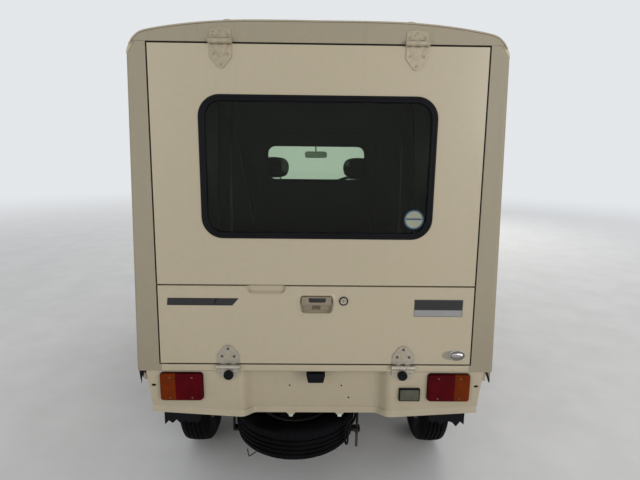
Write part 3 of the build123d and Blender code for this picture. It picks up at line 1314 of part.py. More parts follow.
def steering_wheel():
    ring = Torus(STEERING_R - STEERING_RIM_R, STEERING_RIM_R)
    hub = Pos(0, 0, 3 - HUB_DEPTH / 2) * Cylinder(42, HUB_DEPTH + 6)
    spokes = Pos(0, 0, -10) * Box(2 * STEERING_R - 40, 26, 12)
    spokes += Pos(0, -80, -10) * Box(30, 150, 12)
    return steering_plane() * (ring + hub + spokes)


def main():
    os.makedirs("parts", exist_ok=True)
    pieces = (
        ("box_side_walls", box_side_walls), ("box_roof", box_roof), ("box_front_wall", box_front_wall),
        ("box_rear_frame", box_rear_frame), ("cargo_floor", cargo_floor), ("hatch_panel", hatch_panel),
        ("hatch_seal", hatch_seal), ("hatch_glass", hatch_glass), ("tailgate_panel", tailgate_panel),
        ("tailgate_handle", tailgate_handle), ("front_grille", front_grille), ("front_bumper", front_bumper),
        ("front_indicators", front_indicators), ("wipers", wipers), ("dashboard", dashboard),
        ("seats", seats), ("chassis_frame", chassis_frame), ("cross_members", cross_members),
        ("floor_bearers", floor_bearers), ("engine", engine), ("fuel_tank", fuel_tank),
        ("exhaust", exhaust), ("rear_axle", rear_axle), ("leaf_springs", leaf_springs),
        ("front_suspension", front_suspension), ("spare_carrier", spare_carrier),
        ("rear_valance", rear_valance), ("mudflaps", mudflaps), ("steering_wheel", steering_wheel),
    )
    for name, make in pieces:
        save(name, make())
    build_cab()
    build_wheels()
    build_rear_lamps()
    build_hinges()
    right_knuckle = knuckle()
    save("right_knuckle", right_knuckle)
    save("left_knuckle", mirror(right_knuckle, about=Plane.YZ))


main()
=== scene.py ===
import json
from collections import defaultdict
from math import cos, pi, radians, sin, sqrt
from random import Random

import bmesh
import bpy
from bpy.props import FloatProperty, FloatVectorProperty, IntProperty, PointerProperty
from bpy.types import Operator, Panel, PropertyGroup
from mathutils import Matrix, Vector
from mathutils.bvhtree import BVHTree


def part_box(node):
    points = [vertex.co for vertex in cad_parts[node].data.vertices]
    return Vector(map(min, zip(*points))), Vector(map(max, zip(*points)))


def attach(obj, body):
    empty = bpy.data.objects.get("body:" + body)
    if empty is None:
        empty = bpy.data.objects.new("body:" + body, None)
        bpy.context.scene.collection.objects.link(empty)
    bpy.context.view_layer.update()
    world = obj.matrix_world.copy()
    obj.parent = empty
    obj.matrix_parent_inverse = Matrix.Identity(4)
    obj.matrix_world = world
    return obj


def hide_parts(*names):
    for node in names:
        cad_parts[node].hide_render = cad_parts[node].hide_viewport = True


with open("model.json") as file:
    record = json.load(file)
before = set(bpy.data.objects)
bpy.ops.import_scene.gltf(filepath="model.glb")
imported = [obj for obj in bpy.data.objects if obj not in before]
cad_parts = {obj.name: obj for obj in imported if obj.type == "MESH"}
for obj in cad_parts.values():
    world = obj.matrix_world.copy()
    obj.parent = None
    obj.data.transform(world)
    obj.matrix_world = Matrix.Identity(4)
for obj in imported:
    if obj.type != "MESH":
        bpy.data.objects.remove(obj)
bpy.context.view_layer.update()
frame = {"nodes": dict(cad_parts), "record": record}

bl_info = {
    "name": "Kei truck with a panel-van body",
    "version": (1, 0, 0),
    "blender": (4, 5, 0),
    "location": "View3D > Sidebar > Kei Truck",
    "description": "Paint, rubber, lamps, tyres, seats and trim for a small box-bodied truck",
    "category": "Object",
}

# Places read from the frame, in metres

GATE_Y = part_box("hatch_panel")[0].y
WINDOW_LOW, WINDOW_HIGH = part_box("hatch_seal")
VALANCE_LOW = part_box("rear_valance")[0]
SPARE_LOW, SPARE_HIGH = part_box("spare_tyre")
CORNERS = ("front_left", "front_right", "rear_left", "rear_right")


class PaintSettings(PropertyGroup):
    """Colours of the finishes."""

    body: FloatVectorProperty(
        name="Body paint", description="Cream paint of the cab and the box", subtype="COLOR",
        size=3, min=0, max=1, default=(0.435, 0.375, 0.264))
    dirt: FloatVectorProperty(
        name="Road dirt", description="Dirt that gathers low on the body", subtype="COLOR",
        size=3, min=0, max=1, default=(0.13, 0.095, 0.06))
    rust: FloatVectorProperty(
        name="Rust", description="Rust on chips, screws and the frame", subtype="COLOR",
        size=3, min=0, max=1, default=(0.12, 0.035, 0.012))
    red_lens: FloatVectorProperty(
        name="Red lens", description="Stop and tail lens", subtype="COLOR",
        size=3, min=0, max=1, default=(0.085, 0.0003, 0.003))
    amber_lens: FloatVectorProperty(
        name="Amber lens", description="Turn signal lens", subtype="COLOR",
        size=3, min=0, max=1, default=(0.155, 0.0225, 0.0009))
    cloth: FloatVectorProperty(
        name="Seat cloth", description="Woven cloth of the seats", subtype="COLOR",
        size=3, min=0, max=1, default=(0.012, 0.013, 0.016))


class SizeSettings(PropertyGroup):
    """Sizes of the pieces that are added to the frame."""

    screw_radius: FloatProperty(
        name="Screw head", description="Radius of the hinge screw heads", unit="LENGTH", default=0.0055)
    tread_depth: FloatProperty(
        name="Tread depth", description="Depth of the grooves in the tyres", unit="LENGTH", default=0.006)
    tread_pitches: IntProperty(
        name="Tread pitches", description="Blocks around one tyre", default=64, min=24, max=96)
    edge_radius: FloatProperty(
        name="Panel edge", description="Rounding of sheet metal edges", unit="LENGTH", default=0.0025)


# Shader building


def link(tree, value, socket):
    """Feed a socket from another socket or set it to a plain value."""
    if isinstance(value, bpy.types.NodeSocket):
        tree.links.new(value, socket)
    elif hasattr(value, "__len__") and len(value) == 3 and socket.type == "RGBA":
        socket.default_value = (*value, 1.0)
    else:
        socket.default_value = value


def shade(tree, kind, inputs=None, **settings):
    """Add a shader node with its settings and inputs."""
    node = tree.nodes.new("ShaderNode" + kind)
    for key, value in settings.items():
        setattr(node, key, value)
    for key, value in (inputs or {}).items():
        link(tree, value, node.inputs[key])
    return node


def maths(tree, operation, *values, clamp=False):
    """Result of one sum on plain or linked values."""
    inputs = dict(enumerate(values))
    return shade(tree, "Math", inputs, operation=operation, use_clamp=clamp).outputs[0]


def centred(tree, noise):
    """Noise moved down by a half, so that it varies about nought."""
    return maths(tree, "SUBTRACT", noise, 0.5)


def blend_colour(tree, factor, first, second):
    """Mix of two colours: the first at factor 0, the second at 1."""
    node = shade(tree, "Mix", data_type="RGBA", blend_type="MIX")
    for index, value in ((0, factor), (6, first), (7, second)):
        link(tree, value, node.inputs[index])
    return node.outputs[2]


def step_between(tree, value, low, high, to_low=0.0, to_high=1.0):
    """Smooth step of a value between two limits."""
    inputs = {"Value": value, "From Min": low, "From Max": high, "To Min": to_low, "To Max": to_high}
    return shade(tree, "MapRange", inputs, interpolation_type="SMOOTHSTEP").outputs[0]


def place_of(tree, scale=(1, 1, 1)):
    """Position on the object, stretched by a scale."""
    coordinates = shade(tree, "TexCoord").outputs["Object"]
    if scale == (1, 1, 1):
        return coordinates
    return shade(tree, "Mapping", {"Vector": coordinates, "Scale": scale}).outputs[0]


def speckle(tree, scale, detail=3.0, roughness=0.5, stretch=(1, 1, 1)):
    """Cloudy noise from 0 to 1."""
    inputs = {"Vector": place_of(tree, stretch), "Scale": scale, "Detail": detail, "Roughness": roughness}
    return shade(tree, "TexNoise", inputs).outputs["Fac"]


def scaled(tree, colour, factor):
    """Colour multiplied by a factor."""
    return shade(tree, "VectorMath", {0: colour, "Scale": factor}, operation="SCALE").outputs[0]


def new_effect(name, inputs, outputs):
    """Node group with named inputs (name, kind, default) and outputs (name, kind)."""
    tree = bpy.data.node_groups.new(name, "ShaderNodeTree")
    for label, kind, default in inputs:
        socket = tree.interface.new_socket(label, in_out="INPUT", socket_type="NodeSocket" + kind)
        socket.default_value = (*default, 1.0) if kind == "Color" else default
    for label, kind in outputs:
        tree.interface.new_socket(label, in_out="OUTPUT", socket_type="NodeSocket" + kind)
    return tree, tree.nodes.new("NodeGroupInput").outputs, tree.nodes.new("NodeGroupOutput").inputs


SURFACE_OUTPUTS = (("Color", "Color"), ("Roughness", "Float"), ("Height", "Float"))


def weathering_effect():
    """Mottled paint with dirt low on the body, streaks and rust spots."""
    tree, given, result = new_effect("Weathering", (
        ("Paint", "Color", (0.5, 0.5, 0.5)), ("Dirt", "Color", (0.1, 0.08, 0.06)),
        ("Rust", "Color", (0.12, 0.04, 0.015)), ("Mottle", "Float", 0.06),
        ("Dirt Amount", "Float", 0.4), ("Dirt Bottom", "Float", 0.4), ("Dirt Top", "Float", 0.8),
        ("Streaks", "Float", 0.1), ("Rust Amount", "Float", 0.0), ("Rust Scale", "Float", 30.0),
        ("Base Roughness", "Float", 0.35),
    ), SURFACE_OUTPUTS)
    height = shade(tree, "SeparateXYZ", {0: place_of(tree)}).outputs["Z"]
    broad = speckle(tree, 1.8, 4.0)
    fine = speckle(tree, 60.0, 3.0)
    patches = speckle(tree, 7.0, 5.0, 0.65)
    uneven = maths(tree, "MULTIPLY_ADD", centred(tree, broad), given["Mottle"], 1.0)
    uneven = maths(tree, "MULTIPLY_ADD", centred(tree, fine), given["Mottle"], uneven)
    paint = scaled(tree, given["Paint"], uneven)
    wavy = maths(tree, "MULTIPLY_ADD", centred(tree, patches), 0.5, height)
    low = step_between(tree, wavy, given["Dirt Bottom"], given["Dirt Top"], 1.0, 0.0)
    blotches = step_between(tree, patches, 0.35, 0.75, 0.35, 1.0)
    dirt = maths(tree, "MULTIPLY", maths(tree, "MULTIPLY", low, blotches), given["Dirt Amount"], clamp=True)
    runs = step_between(tree, speckle(tree, 1.0, 3.0, 0.5, (30, 30, 1.1)), 0.55, 0.8)
    runs = maths(tree, "MULTIPLY", runs, given["Streaks"])
    dirt = maths(tree, "MAXIMUM", dirt, runs, clamp=True)
    grain = speckle(tree, given["Rust Scale"], 7.0, 0.68)
    edge = maths(tree, "SUBTRACT", 0.86, maths(tree, "MULTIPLY", given["Rust Amount"], 0.5))
    rust = step_between(tree, grain, edge, maths(tree, "ADD", edge, 0.07))
    colour = blend_colour(tree, dirt, paint, given["Dirt"])
    rusty = scaled(tree, given["Rust"], maths(tree, "MULTIPLY_ADD", patches, 1.6, 0.3))
    link(tree, blend_colour(tree, rust, colour, rusty), result["Color"])
    rough = maths(tree, "MULTIPLY_ADD", dirt, 0.4, given["Base Roughness"])
    rough = maths(tree, "MULTIPLY_ADD", centred(tree, fine), 0.12, rough)
    link(tree, maths(tree, "MULTIPLY_ADD", rust, 0.45, rough, clamp=True), result["Roughness"])
    link(tree, maths(tree, "MULTIPLY_ADD", rust, 0.6, maths(tree, "MULTIPLY", fine, 0.15)), result["Height"])
    return tree


def grain_effect():
    """Leathery grain of moulded plastic and rubber."""
    tree, given, result = new_effect("Moulded grain", (
        ("Tint", "Color", (0.03, 0.03, 0.03)), ("Cells", "Float", 700.0), ("Fading", "Float", 0.3),
    ), SURFACE_OUTPUTS)
    cells = shade(tree, "TexVoronoi", {"Vector": place_of(tree), "Scale": given["Cells"]},
                  feature="SMOOTH_F1").outputs["Distance"]
    faded = maths(tree, "MULTIPLY", step_between(tree, speckle(tree, 6.0, 5.0, 0.6), 0.4, 0.75), given["Fading"])
    link(tree, scaled(tree, given["Tint"], maths(tree, "MULTIPLY_ADD", faded, 2.0, 0.85)), result["Color"])
    link(tree, maths(tree, "MULTIPLY_ADD", faded, 0.3, 0.5), result["Roughness"])
    link(tree, cells, result["Height"])
    return tree


def weave_effect():
    """Plain weave whose threads run across and along the piece."""
    tree, given, result = new_effect("Plain weave", (
        ("Cloth", "Color", (0.03, 0.03, 0.03)), ("Thread", "Color", (0.08, 0.08, 0.09)),
        ("Threads", "Float", 2600.0),
    ), (("Color", "Color"), ("Height", "Float")))
    axes = shade(tree, "SeparateXYZ", {0: place_of(tree)}).outputs
    along = maths(tree, "ADD", axes["Y"], axes["Z"])
    warp = maths(tree, "SINE", maths(tree, "MULTIPLY", axes["X"], given["Threads"]))
    weft = maths(tree, "SINE", maths(tree, "MULTIPLY", along, given["Threads"]))
    height = maths(tree, "MULTIPLY", warp, weft)
    flecks = step_between(tree, speckle(tree, 220.0, 2.0), 0.5, 0.7)
    link(tree, blend_colour(tree, flecks, given["Cloth"], given["Thread"]), result["Color"])
    link(tree, maths(tree, "MULTIPLY_ADD", height, 0.5, 0.5), result["Height"])
    return tree


EFFECTS = {}
FINISHES = {}
WEATHERING = (
    "Mottle", "Dirt Amount", "Dirt Bottom", "Dirt Top", "Streaks", "Rust Amount", "Rust Scale", "Base Roughness",
)
BARE_ZINC = (0.47, 0.44, 0.37)
GREASY_DIRT = (0.2, 0.15, 0.09)


def effect(tree, name, values):
    """Place an effect in a material with its own values, keyed by socket names."""
    node = tree.nodes.new("ShaderNodeGroup")
    node.node_tree = EFFECTS[name]
    for key, value in values.items():
        link(tree, value, node.inputs[key])
    return node.outputs


def new_material(name):
    """Material with a principled surface, its node tree and that surface's inputs."""
    material = bpy.data.materials.new(name)
    material.use_nodes = True
    tree = material.node_tree
    return material, tree, tree.nodes["Principled BSDF"].inputs


def surface_of(name, inputs, bump=0.2, distance=0.001):
    """New material: a principled surface with plain or linked inputs and an optional bump."""
    material, tree, sockets = new_material(name)
    for key, value in (inputs(tree) if callable(inputs) else inputs).items():
        if key == "Height":
            relief = shade(tree, "Bump", {"Strength": bump, "Distance": distance, "Height": value})
            link(tree, relief.outputs[0], sockets["Normal"])
        else:
            link(tree, value, sockets[key])
    FINISHES[name] = material


def textured(tree, name, values, fixed):
    """Inputs from an effect's colour, roughness and height, beside those for the shader's own sockets."""
    outputs = effect(tree, name, values)
    return {"Base Color": outputs["Color"], "Roughness": outputs["Roughness"], "Height": outputs["Height"], **fixed}


def weathered(paint, dirt, rust, amounts, fixed):
    """Inputs of a weathered surface, its amounts in the order of WEATHERING."""
    values = {"Paint": paint, "Dirt": dirt, "Rust": rust, **dict(zip(WEATHERING, amounts))}
    return lambda tree: textured(tree, "weathering", values, fixed)


def grained(tint, cells, fading, fixed):
    """Inputs of a moulded surface with a leathery grain."""
    return lambda tree: textured(tree, "grain", {"Tint": tint, "Cells": cells, "Fading": fading}, fixed)


def toned(colour, share):
    """Plain colour multiplied by a share."""
    return tuple(value * share for value in colour)


def build_finishes(paint):
    """All materials, by the names that the pieces use."""
    EFFECTS.update(weathering=weathering_effect(), grain=grain_effect(), weave=weave_effect())
    body, dirt, rust = tuple(paint.body), tuple(paint.dirt), tuple(paint.rust)
    for name, colour, soil, amounts, fixed, bump in (
        # name, colour, colour of its dirt, amounts in the order of WEATHERING, plain values, bump
        ("body_paint", body, dirt, (0.07, 0.42, 0.36, 0.78, 0.03, 0.16, 22.0, 0.34),
         {"Coat Weight": 0.25, "Coat Roughness": 0.12}, 0.06),
        # Body paint darkened to seven tenths as painted shade, for the rear frame's strips and the roof's rear band and
        # header
        ("frame_coat_darkened_for_shade", toned(body, 0.70), dirt, (0.1, 0.3, 0.5, 1.1, 0.12, 0.2, 30.0, 0.52),
         {"Coat Weight": 0.04, "Coat Roughness": 0.3}, 0.06),
        ("chassis_black", (0.010, 0.0096, 0.009), toned(dirt, 0.4), (0.5, 0.4, 0.1, 1.2, 0.1, 0.5, 14.0, 0.6),
         {"Specular IOR Level": 0.2}, 0.5),
        ("wheel_steel", (0.34, 0.34, 0.33), dirt, (0.2, 0.5, 0.05, 0.6, 0.0, 0.42, 26.0, 0.42),
         {"Metallic": 0.7}, 0.2),
        ("zinc_steel", BARE_ZINC, GREASY_DIRT, (0.5, 0.35, 0.4, 2.4, 0.2, 0.5, 90.0, 0.34), {"Metallic": 0.75}, 0.3),
        ("painted_hinge", toned(body, 0.92), GREASY_DIRT, (0.4, 0.3, 1.2, 2.6, 0.2, 0.45, 110.0, 0.4),
         {"Metallic": 0.1}, 0.3),
        # Body paint darkened as painted shade, for the handle recess, its lever and the line under the sill; the corner
        # flap bracket uses it too
        ("paint_darkened_for_shade", toned(body, 0.62), dirt, (0.3, 0.5, 0.8, 1.6, 0.2, 0.3, 90.0, 0.5), {}, 0.15),
        ("bumper_plastic", toned(body, 0.95), dirt, (0.08, 0.5, 0.25, 0.62, 0.04, 0.0, 20.0, 0.45), {}, 0.15),
        ("engine_metal", (0.13, 0.125, 0.12), (0.03, 0.025, 0.02), (0.6, 0.9, 0.1, 0.9, 0.3, 0.35, 18.0, 0.5),
         {"Metallic": 0.6}, 0.5),
        ("exhaust_steel", (0.2, 0.15, 0.1), dirt, (0.6, 0.4, 0.1, 0.9, 0.1, 0.8, 16.0, 0.55), {"Metallic": 0.6}, 0.5),
        ("rusty_screw", (0.16, 0.13, 0.1), (0.1, 0.06, 0.03), (0.5, 0.3, 0.2, 2.2, 0.1, 0.7, 240.0, 0.5),
         {"Metallic": 0.5}, 0.3),
        ("mirror_glass", (0.22, 0.24, 0.24), (0.08, 0.08, 0.07), (0.2, 0.3, 0.2, 2.2, 0.0, 0.0, 200.0, 0.06),
         {"Metallic": 1.0}, 0.02),
        ("chrome", (0.6, 0.6, 0.6), (0.15, 0.13, 0.1), (0.3, 0.2, 0.2, 2.2, 0.0, 0.2, 200.0, 0.14),
         {"Metallic": 1.0}, 0.05),
    ):
        surface_of(name, weathered(colour, soil, rust, amounts, fixed), bump)
    surface_of("hinge_steel", hinge_steel(body, rust), 0.3)
    for name, tint, cells, fading, fixed, bump in (
        ("black_plastic", (0.018, 0.018, 0.019), 900.0, 0.35, {}, 0.25),
        ("interior_plastic", (0.06, 0.06, 0.065), 1000.0, 0.15, {}, 0.3),
        ("black_rubber", (0.0026, 0.0028, 0.0041), 500.0, 0.5, {"Specular IOR Level": 0.13}, 0.15),
        # Tyre black darkened below rubber's own as painted shade under the truck
        ("tyre_rubber", (0.0016, 0.0016, 0.0020), 260.0, 0.9, {"Specular IOR Level": 0.06}, 0.3),
        # Dark lining colour that stands in for the shade inside the box
        ("shade_dark_lining", (0.023, 0.0195, 0.0105), 300.0, 0.3, {}, 0.15),
    ):
        surface_of(name, grained(tint, cells, fading, fixed), bump)
    for name, tint in (
        ("decal_black", (0.008, 0.008, 0.009)), ("decal_red", (0.20, 0.008, 0.010)),
        ("decal_grey", (0.15, 0.135, 0.11)), ("decal_faded", (0.29, 0.26, 0.20)),
        ("decal_silver", (0.30, 0.30, 0.30)), ("decal_white", (0.5, 0.56, 0.55)),
        ("decal_blue", (0.015, 0.06, 0.12)), ("decal_cream", (0.30, 0.31, 0.23)),
    ):
        surface_of(name, grained(tint, 1500.0, 0.12, {}), 0.02)
    for name, tint, index in (
        ("tinted_glass", (0.60, 0.69, 0.54), 1.22), ("clear_glass", (0.86, 0.92, 0.88), 1.45),
    ):
        surface_of(name, {"Base Color": tint, "Roughness": 0.0, "Transmission Weight": 1.0, "IOR": index})
    surface_of("lamp_glass", lambda tree: {
        "Base Color": (0.93, 0.95, 0.96), "Roughness": 0.04, "Transmission Weight": 1.0,
        "Height": ribbing(tree, 0, 520.0)}, 0.5, 0.002)
    for name, colour in (
        ("red_lens", paint.red_lens), ("amber_lens", paint.amber_lens), ("clear_lens", (0.11, 0.11, 0.085)),
    ):
        surface_of(name, lens(tuple(colour)), 0.6, 0.0012)
    surface_of("seat_cloth", woven(tuple(paint.cloth)), 0.4, 0.0006)


def hinge_steel(paint, rust):
    """Bare zinc at the bottom hinges, painted with the frame at the top ones."""
    def inputs(tree):
        height = shade(tree, "SeparateXYZ", {0: place_of(tree)}).outputs["Z"]
        painted = step_between(tree, height, 1.2, 1.5)
        coat = blend_colour(tree, painted, BARE_ZINC, toned(paint, 0.78))
        metal = maths(tree, "MULTIPLY_ADD", painted, -0.65, 0.75)
        amounts = (0.5, 0.35, 0.4, 2.4, 0.2, 0.5, 90.0, 0.36)
        return weathered(coat, GREASY_DIRT, rust, amounts, {"Metallic": metal})(tree)
    return inputs


def woven(cloth):
    """Inputs of a plain weave flecked with paler threads."""
    def inputs(tree):
        outputs = effect(tree, "weave", {"Cloth": cloth, "Thread": toned(cloth, 3)})
        return {"Base Color": outputs["Color"], "Roughness": 0.95, "Sheen Weight": 0.3, "Height": outputs["Height"]}
    return inputs


def ribbing(tree, axis, count):
    """Fine parallel ribs along one axis of the object."""
    value = shade(tree, "SeparateXYZ", {0: place_of(tree)}).outputs[axis]
    return maths(tree, "ABSOLUTE", maths(tree, "SINE", maths(tree, "MULTIPLY", value, count)))


def lens(colour):
    """Inputs of a prismatic lamp lens: small square cells that also darken the colour at their edges as painted facet
    shading, and random darker patches painted as the shade inside the lamp.
    """
    def inputs(tree):
        cells = maths(tree, "MULTIPLY", ribbing(tree, 0, 900.0), ribbing(tree, 2, 900.0))
        # Random darker patches, painted as the shade inside the lamp
        depth = maths(tree, "MULTIPLY_ADD", speckle(tree, 24.0, 2.0), 0.9, 0.45)
        depth = maths(tree, "MULTIPLY", depth, maths(tree, "MULTIPLY_ADD", cells, 0.5, 0.75))
        return {"Base Color": scaled(tree, colour, depth), "Roughness": 0.35, "Specular IOR Level": 0.05,
                "Height": cells}
    return inputs


# Mesh building


def rear(u, v, w):
    """Point at X = u and Z = v, w forward of the gates' outer plane."""
    return Vector((u, GATE_Y + w, v))


def loft(mesh, rings, around=True, closed=False, caps=True):
    """Skin between rings of equal count; closed joins the last ring to the first."""
    rows = [[mesh.verts.new(point) for point in ring] for ring in rings]
    count = len(rows[0])
    pairs = list(zip(rows, rows[1:] + rows[:1])) if closed else list(zip(rows, rows[1:]))
    for first, second in pairs:
        for index in range(count if around else count - 1):
            after = (index + 1) % count
            mesh.faces.new((first[index], first[after], second[after], second[index]))
    if caps and not closed and around:
        mesh.faces.new(list(reversed(rows[0])))
        mesh.faces.new(rows[-1])
    return rows


def stepped(outline, steps, place=rear):
    """Rings of an outline, for steps of (distance inwards, depth)."""
    return [[place(*point, depth) for point in (inset(outline, inward) if inward else outline)]
            for inward, depth in steps]


def inset(points, distance):
    """Closed outline moved inwards by a distance along its corner bisectors."""
    area = sum(a[0] * b[1] - b[0] * a[1] for a, b in zip(points, points[1:] + points[:1]))
    turn = 1.0 if area > 0 else -1.0
    moved = []
    for index, point in enumerate(points):
        here = Vector(point)
        before = (here - Vector(points[index - 1])).normalized()
        after = (Vector(points[(index + 1) % len(points)]) - here).normalized()
        normal = Vector((-before.y - after.y, before.x + after.x)) * turn
        scale = max(0.35, normal.length / 2)
        moved.append(tuple(here + normal.normalized() * distance / scale))
    return moved


def rounded_box_outline(u, v, radius, steps=6):
    """Rounded rectangle from low and high values, anticlockwise."""
    points = []
    corners = ((u[1], v[0], -90), (u[1], v[1], 0), (u[0], v[1], 90), (u[0], v[0], 180))
    for x, z, start in corners:
        centre_x = x - radius if x == u[1] else x + radius
        centre_z = z - radius if z == v[1] else z + radius
        for step in range(steps + 1):
            angle = radians(start + 90 * step / steps)
            points.append((centre_x + radius * cos(angle), centre_z + radius * sin(angle)))
    return points


def rounded_outline(corners, radius, steps=5):
    """Closed outline with each corner replaced by a short curve."""
    points = []
    count = len(corners)
    for index, corner in enumerate(corners):
        here = Vector(corner)
        before = Vector(corners[index - 1]) - here
        after = Vector(corners[(index + 1) % count]) - here
        reach = min(radius, before.length * 0.45, after.length * 0.45)
        start = here + before.normalized() * reach
        end = here + after.normalized() * reach
        for step in range(steps + 1):
            share = step / steps
            points.append(tuple(start.lerp(here, share).lerp(here.lerp(end, share), share)))
    return points


def arc_outline(corners, radius, steps=8):
    """Closed outline whose corners are arcs of one radius."""
    points = []
    for index, corner in enumerate(corners):
        here = Vector(corner)
        before = (Vector(corners[index - 1]) - here).normalized()
        after = (Vector(corners[(index + 1) % len(corners)]) - here).normalized()
        half = before.angle(after) / 2
        centre = here + (before + after).normalized() * radius / sin(half)
        reach = radius * cos(half) / sin(half)
        start, end = here + before * reach - centre, here + after * reach - centre
        turn = pi - 2 * half
        for step in range(steps + 1):
            angle = turn * step / steps
            points.append(tuple(centre + (start * sin(turn - angle) + end * sin(angle)) / sin(turn)))
    return points


def slab(mesh, outline, near, far, edge=0.0, place=rear):
    """Flat piece with the edge of its near face rounded."""
    rings = []
    for step in range(4 if edge else 1):
        angle = pi / 2 * step / 3
        shrink = edge * (1 - sin(angle)) if edge else 0.0
        rise = edge * (1 - cos(angle)) if edge else 0.0
        shape = inset(outline, shrink) if shrink > 1e-6 else outline
        direction = 1 if far > near else -1
        rings.append([place(*point, near + direction * rise) for point in shape])
    rings.append([place(*point, far) for point in outline])
    loft(mesh, rings)


def turned(mesh, profile, centre, axis, segments=24):
    """Turned piece: profile of (distance along the axis, radius) from end to end."""
    axis = Vector(axis).normalized()
    side = axis.orthogonal().normalized()
    across = axis.cross(side)
    rings = []
    for along, radius in profile:
        base = Vector(centre) + axis * along
        rings.append([
            base + (side * cos(2 * pi * step / segments) + across * sin(2 * pi * step / segments)) * max(radius, 1e-5)
            for step in range(segments)
        ])
    loft(mesh, rings)


def smooth_path(points, steps=6):
    """Curve through points as a list of closely spaced ones."""
    points = [Vector(point) for point in points]
    padded = [points[0] * 2 - points[1], *points, points[-1] * 2 - points[-2]]
    path = []
    for index in range(1, len(padded) - 2):
        a, b, c, d = padded[index - 1:index + 3]
        for step in range(steps):
            t = step / steps
            path.append(0.5 * (2 * b + (c - a) * t + (2 * a - 5 * b + 4 * c - d) * t * t
                               + (3 * b - a - 3 * c + d) * t ** 3))
    return path + [points[-1]]


def swept(mesh, path, radius, segments=10, closed=False, flat=1.0):
    """Round bar along a path; flat narrows it across its second axis."""
    rings = []
    normal = (path[1] - path[0]).orthogonal().normalized()
    count = len(path)
    for index, point in enumerate(path):
        after = path[(index + 1) % count] if closed or index < count - 1 else point
        before = path[index - 1] if closed or index > 0 else point
        tangent = (after - before).normalized()
        normal = (normal - tangent * normal.dot(tangent)).normalized()
        across = tangent.cross(normal)
        rings.append([
            point + normal * cos(2 * pi * step / segments) * radius
            + across * sin(2 * pi * step / segments) * radius * flat for step in range(segments)
        ])
    loft(mesh, rings, closed=closed)


def block(mesh, low, high, edge=0.002, steps=2):
    """Box between two corners with rounded edges."""
    made = bmesh.ops.create_cube(mesh, size=1.0)["verts"]
    middle = (Vector(low) + Vector(high)) / 2
    size = Vector(high) - Vector(low)
    for vert in made:
        vert.co = middle + Vector(vert.co[index] * size[index] for index in range(3))
    if edge:
        edges = list(dict.fromkeys(joined for vert in made for joined in vert.link_edges))
        bmesh.ops.bevel(mesh, geom=edges, offset=edge, segments=steps, affect="EDGES", profile=0.5)


def object_from(name, mesh):
    """New object that takes a bmesh's form, and frees it."""
    data = bpy.data.meshes.new(name)
    mesh.to_mesh(data)
    mesh.free()
    made = bpy.data.objects.new(name, data)
    bpy.context.scene.collection.objects.link(made)
    return made


def finish_piece(name, mesh, body, material, sharp=35.0):
    """Turn a bmesh into a piece that rides on a body, smooth up to a sharp angle in degrees."""
    bmesh.ops.remove_doubles(mesh, verts=mesh.verts, dist=1e-6)
    bmesh.ops.recalc_face_normals(mesh, faces=mesh.faces)
    piece = object_from(name, mesh)
    piece.data.shade_smooth()
    piece.data.set_sharp_from_angle(angle=radians(sharp))
    piece.data.materials.append(FINISHES[material])
    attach(piece, body)
    return piece


def plate(name, body, material, outline, near, far, edge=0.0, sharp=35.0):
    """Piece that is one flat slab seen from the rear."""
    mesh = bmesh.new()
    slab(mesh, outline, near, far, edge)
    finish_piece(name, mesh, body, material, sharp)


def bar(name, body, material, path, radius, segments=8, closed=False):
    """Piece that is one round bar along a path."""
    mesh = bmesh.new()
    swept(mesh, path, radius, segments, closed)
    finish_piece(name, mesh, body, material)


def oval_outline(u, v, half_u, half_v, steps=40):
    """Oval about a middle, anticlockwise."""
    angles = [2 * pi * step / steps for step in range(steps)]
    return [(u + half_u * cos(angle), v + half_v * sin(angle)) for angle in angles]


SURFACES = {}


def ray_hit(node, start, direction):
    """First point of a node's surface along a ray; the nodes lie at their place at rest."""
    if node not in SURFACES:
        data = frame["nodes"][node].data
        SURFACES[node] = BVHTree.FromPolygons(
            [vert.co.copy() for vert in data.vertices], [tuple(face.vertices) for face in data.polygons])
    hit = SURFACES[node].ray_cast(Vector(start), Vector(direction))[0]
    if hit is None:
        raise RuntimeError(f"No surface of {node} lies that way")
    return hit


# Stage

SURROUNDINGS = (0.95, 0.975, 1.0)
SEEN_STRENGTH = 0.82
LIT_STRENGTH = 0.56
LAMP_COLOUR = (1.0, 0.975, 0.94)
LAMPS = (
    # name, place, point that it faces, width, power
    ("key", (4.4, -7.0, 2.4), (0, -1.6, 0.8), 4.4, 154.0),
    ("left", (-4.6, -7.0, 2.4), (0, -1.6, 0.8), 4.4, 64.0),
    ("front", (2.5, 6.5, 4.2), (0, 1.6, 1.0), 4.5, 170.0),
)
FLOOR_RADIUS = 60.0
FADE_START, FADE_END = 3.0, 14.0
BLACK = (0.0, 0.0, 0.0)
CAMERA_PLACE = (-0.012, GATE_Y - 1.704, 1.538)
CAMERA_PITCH, CAMERA_YAW, CAMERA_ROLL = radians(11.42), radians(0.76), radians(0.67)
FOCAL_PIXELS, IMAGE_WIDTH = 470.0, 640.0
SENSOR_WIDTH = 36.0


class TRUCK_OT_stage(Operator):
    """Set up the pale floor, the soft light and the camera"""

    bl_idname = "kei_truck.stage"
    bl_label = "Stage"

    def execute(self, context):
        scene = context.scene
        scene.view_settings.view_transform = "Standard"
        build_floor()
        build_light(scene)
        build_camera(scene)
        return {"FINISHED"}


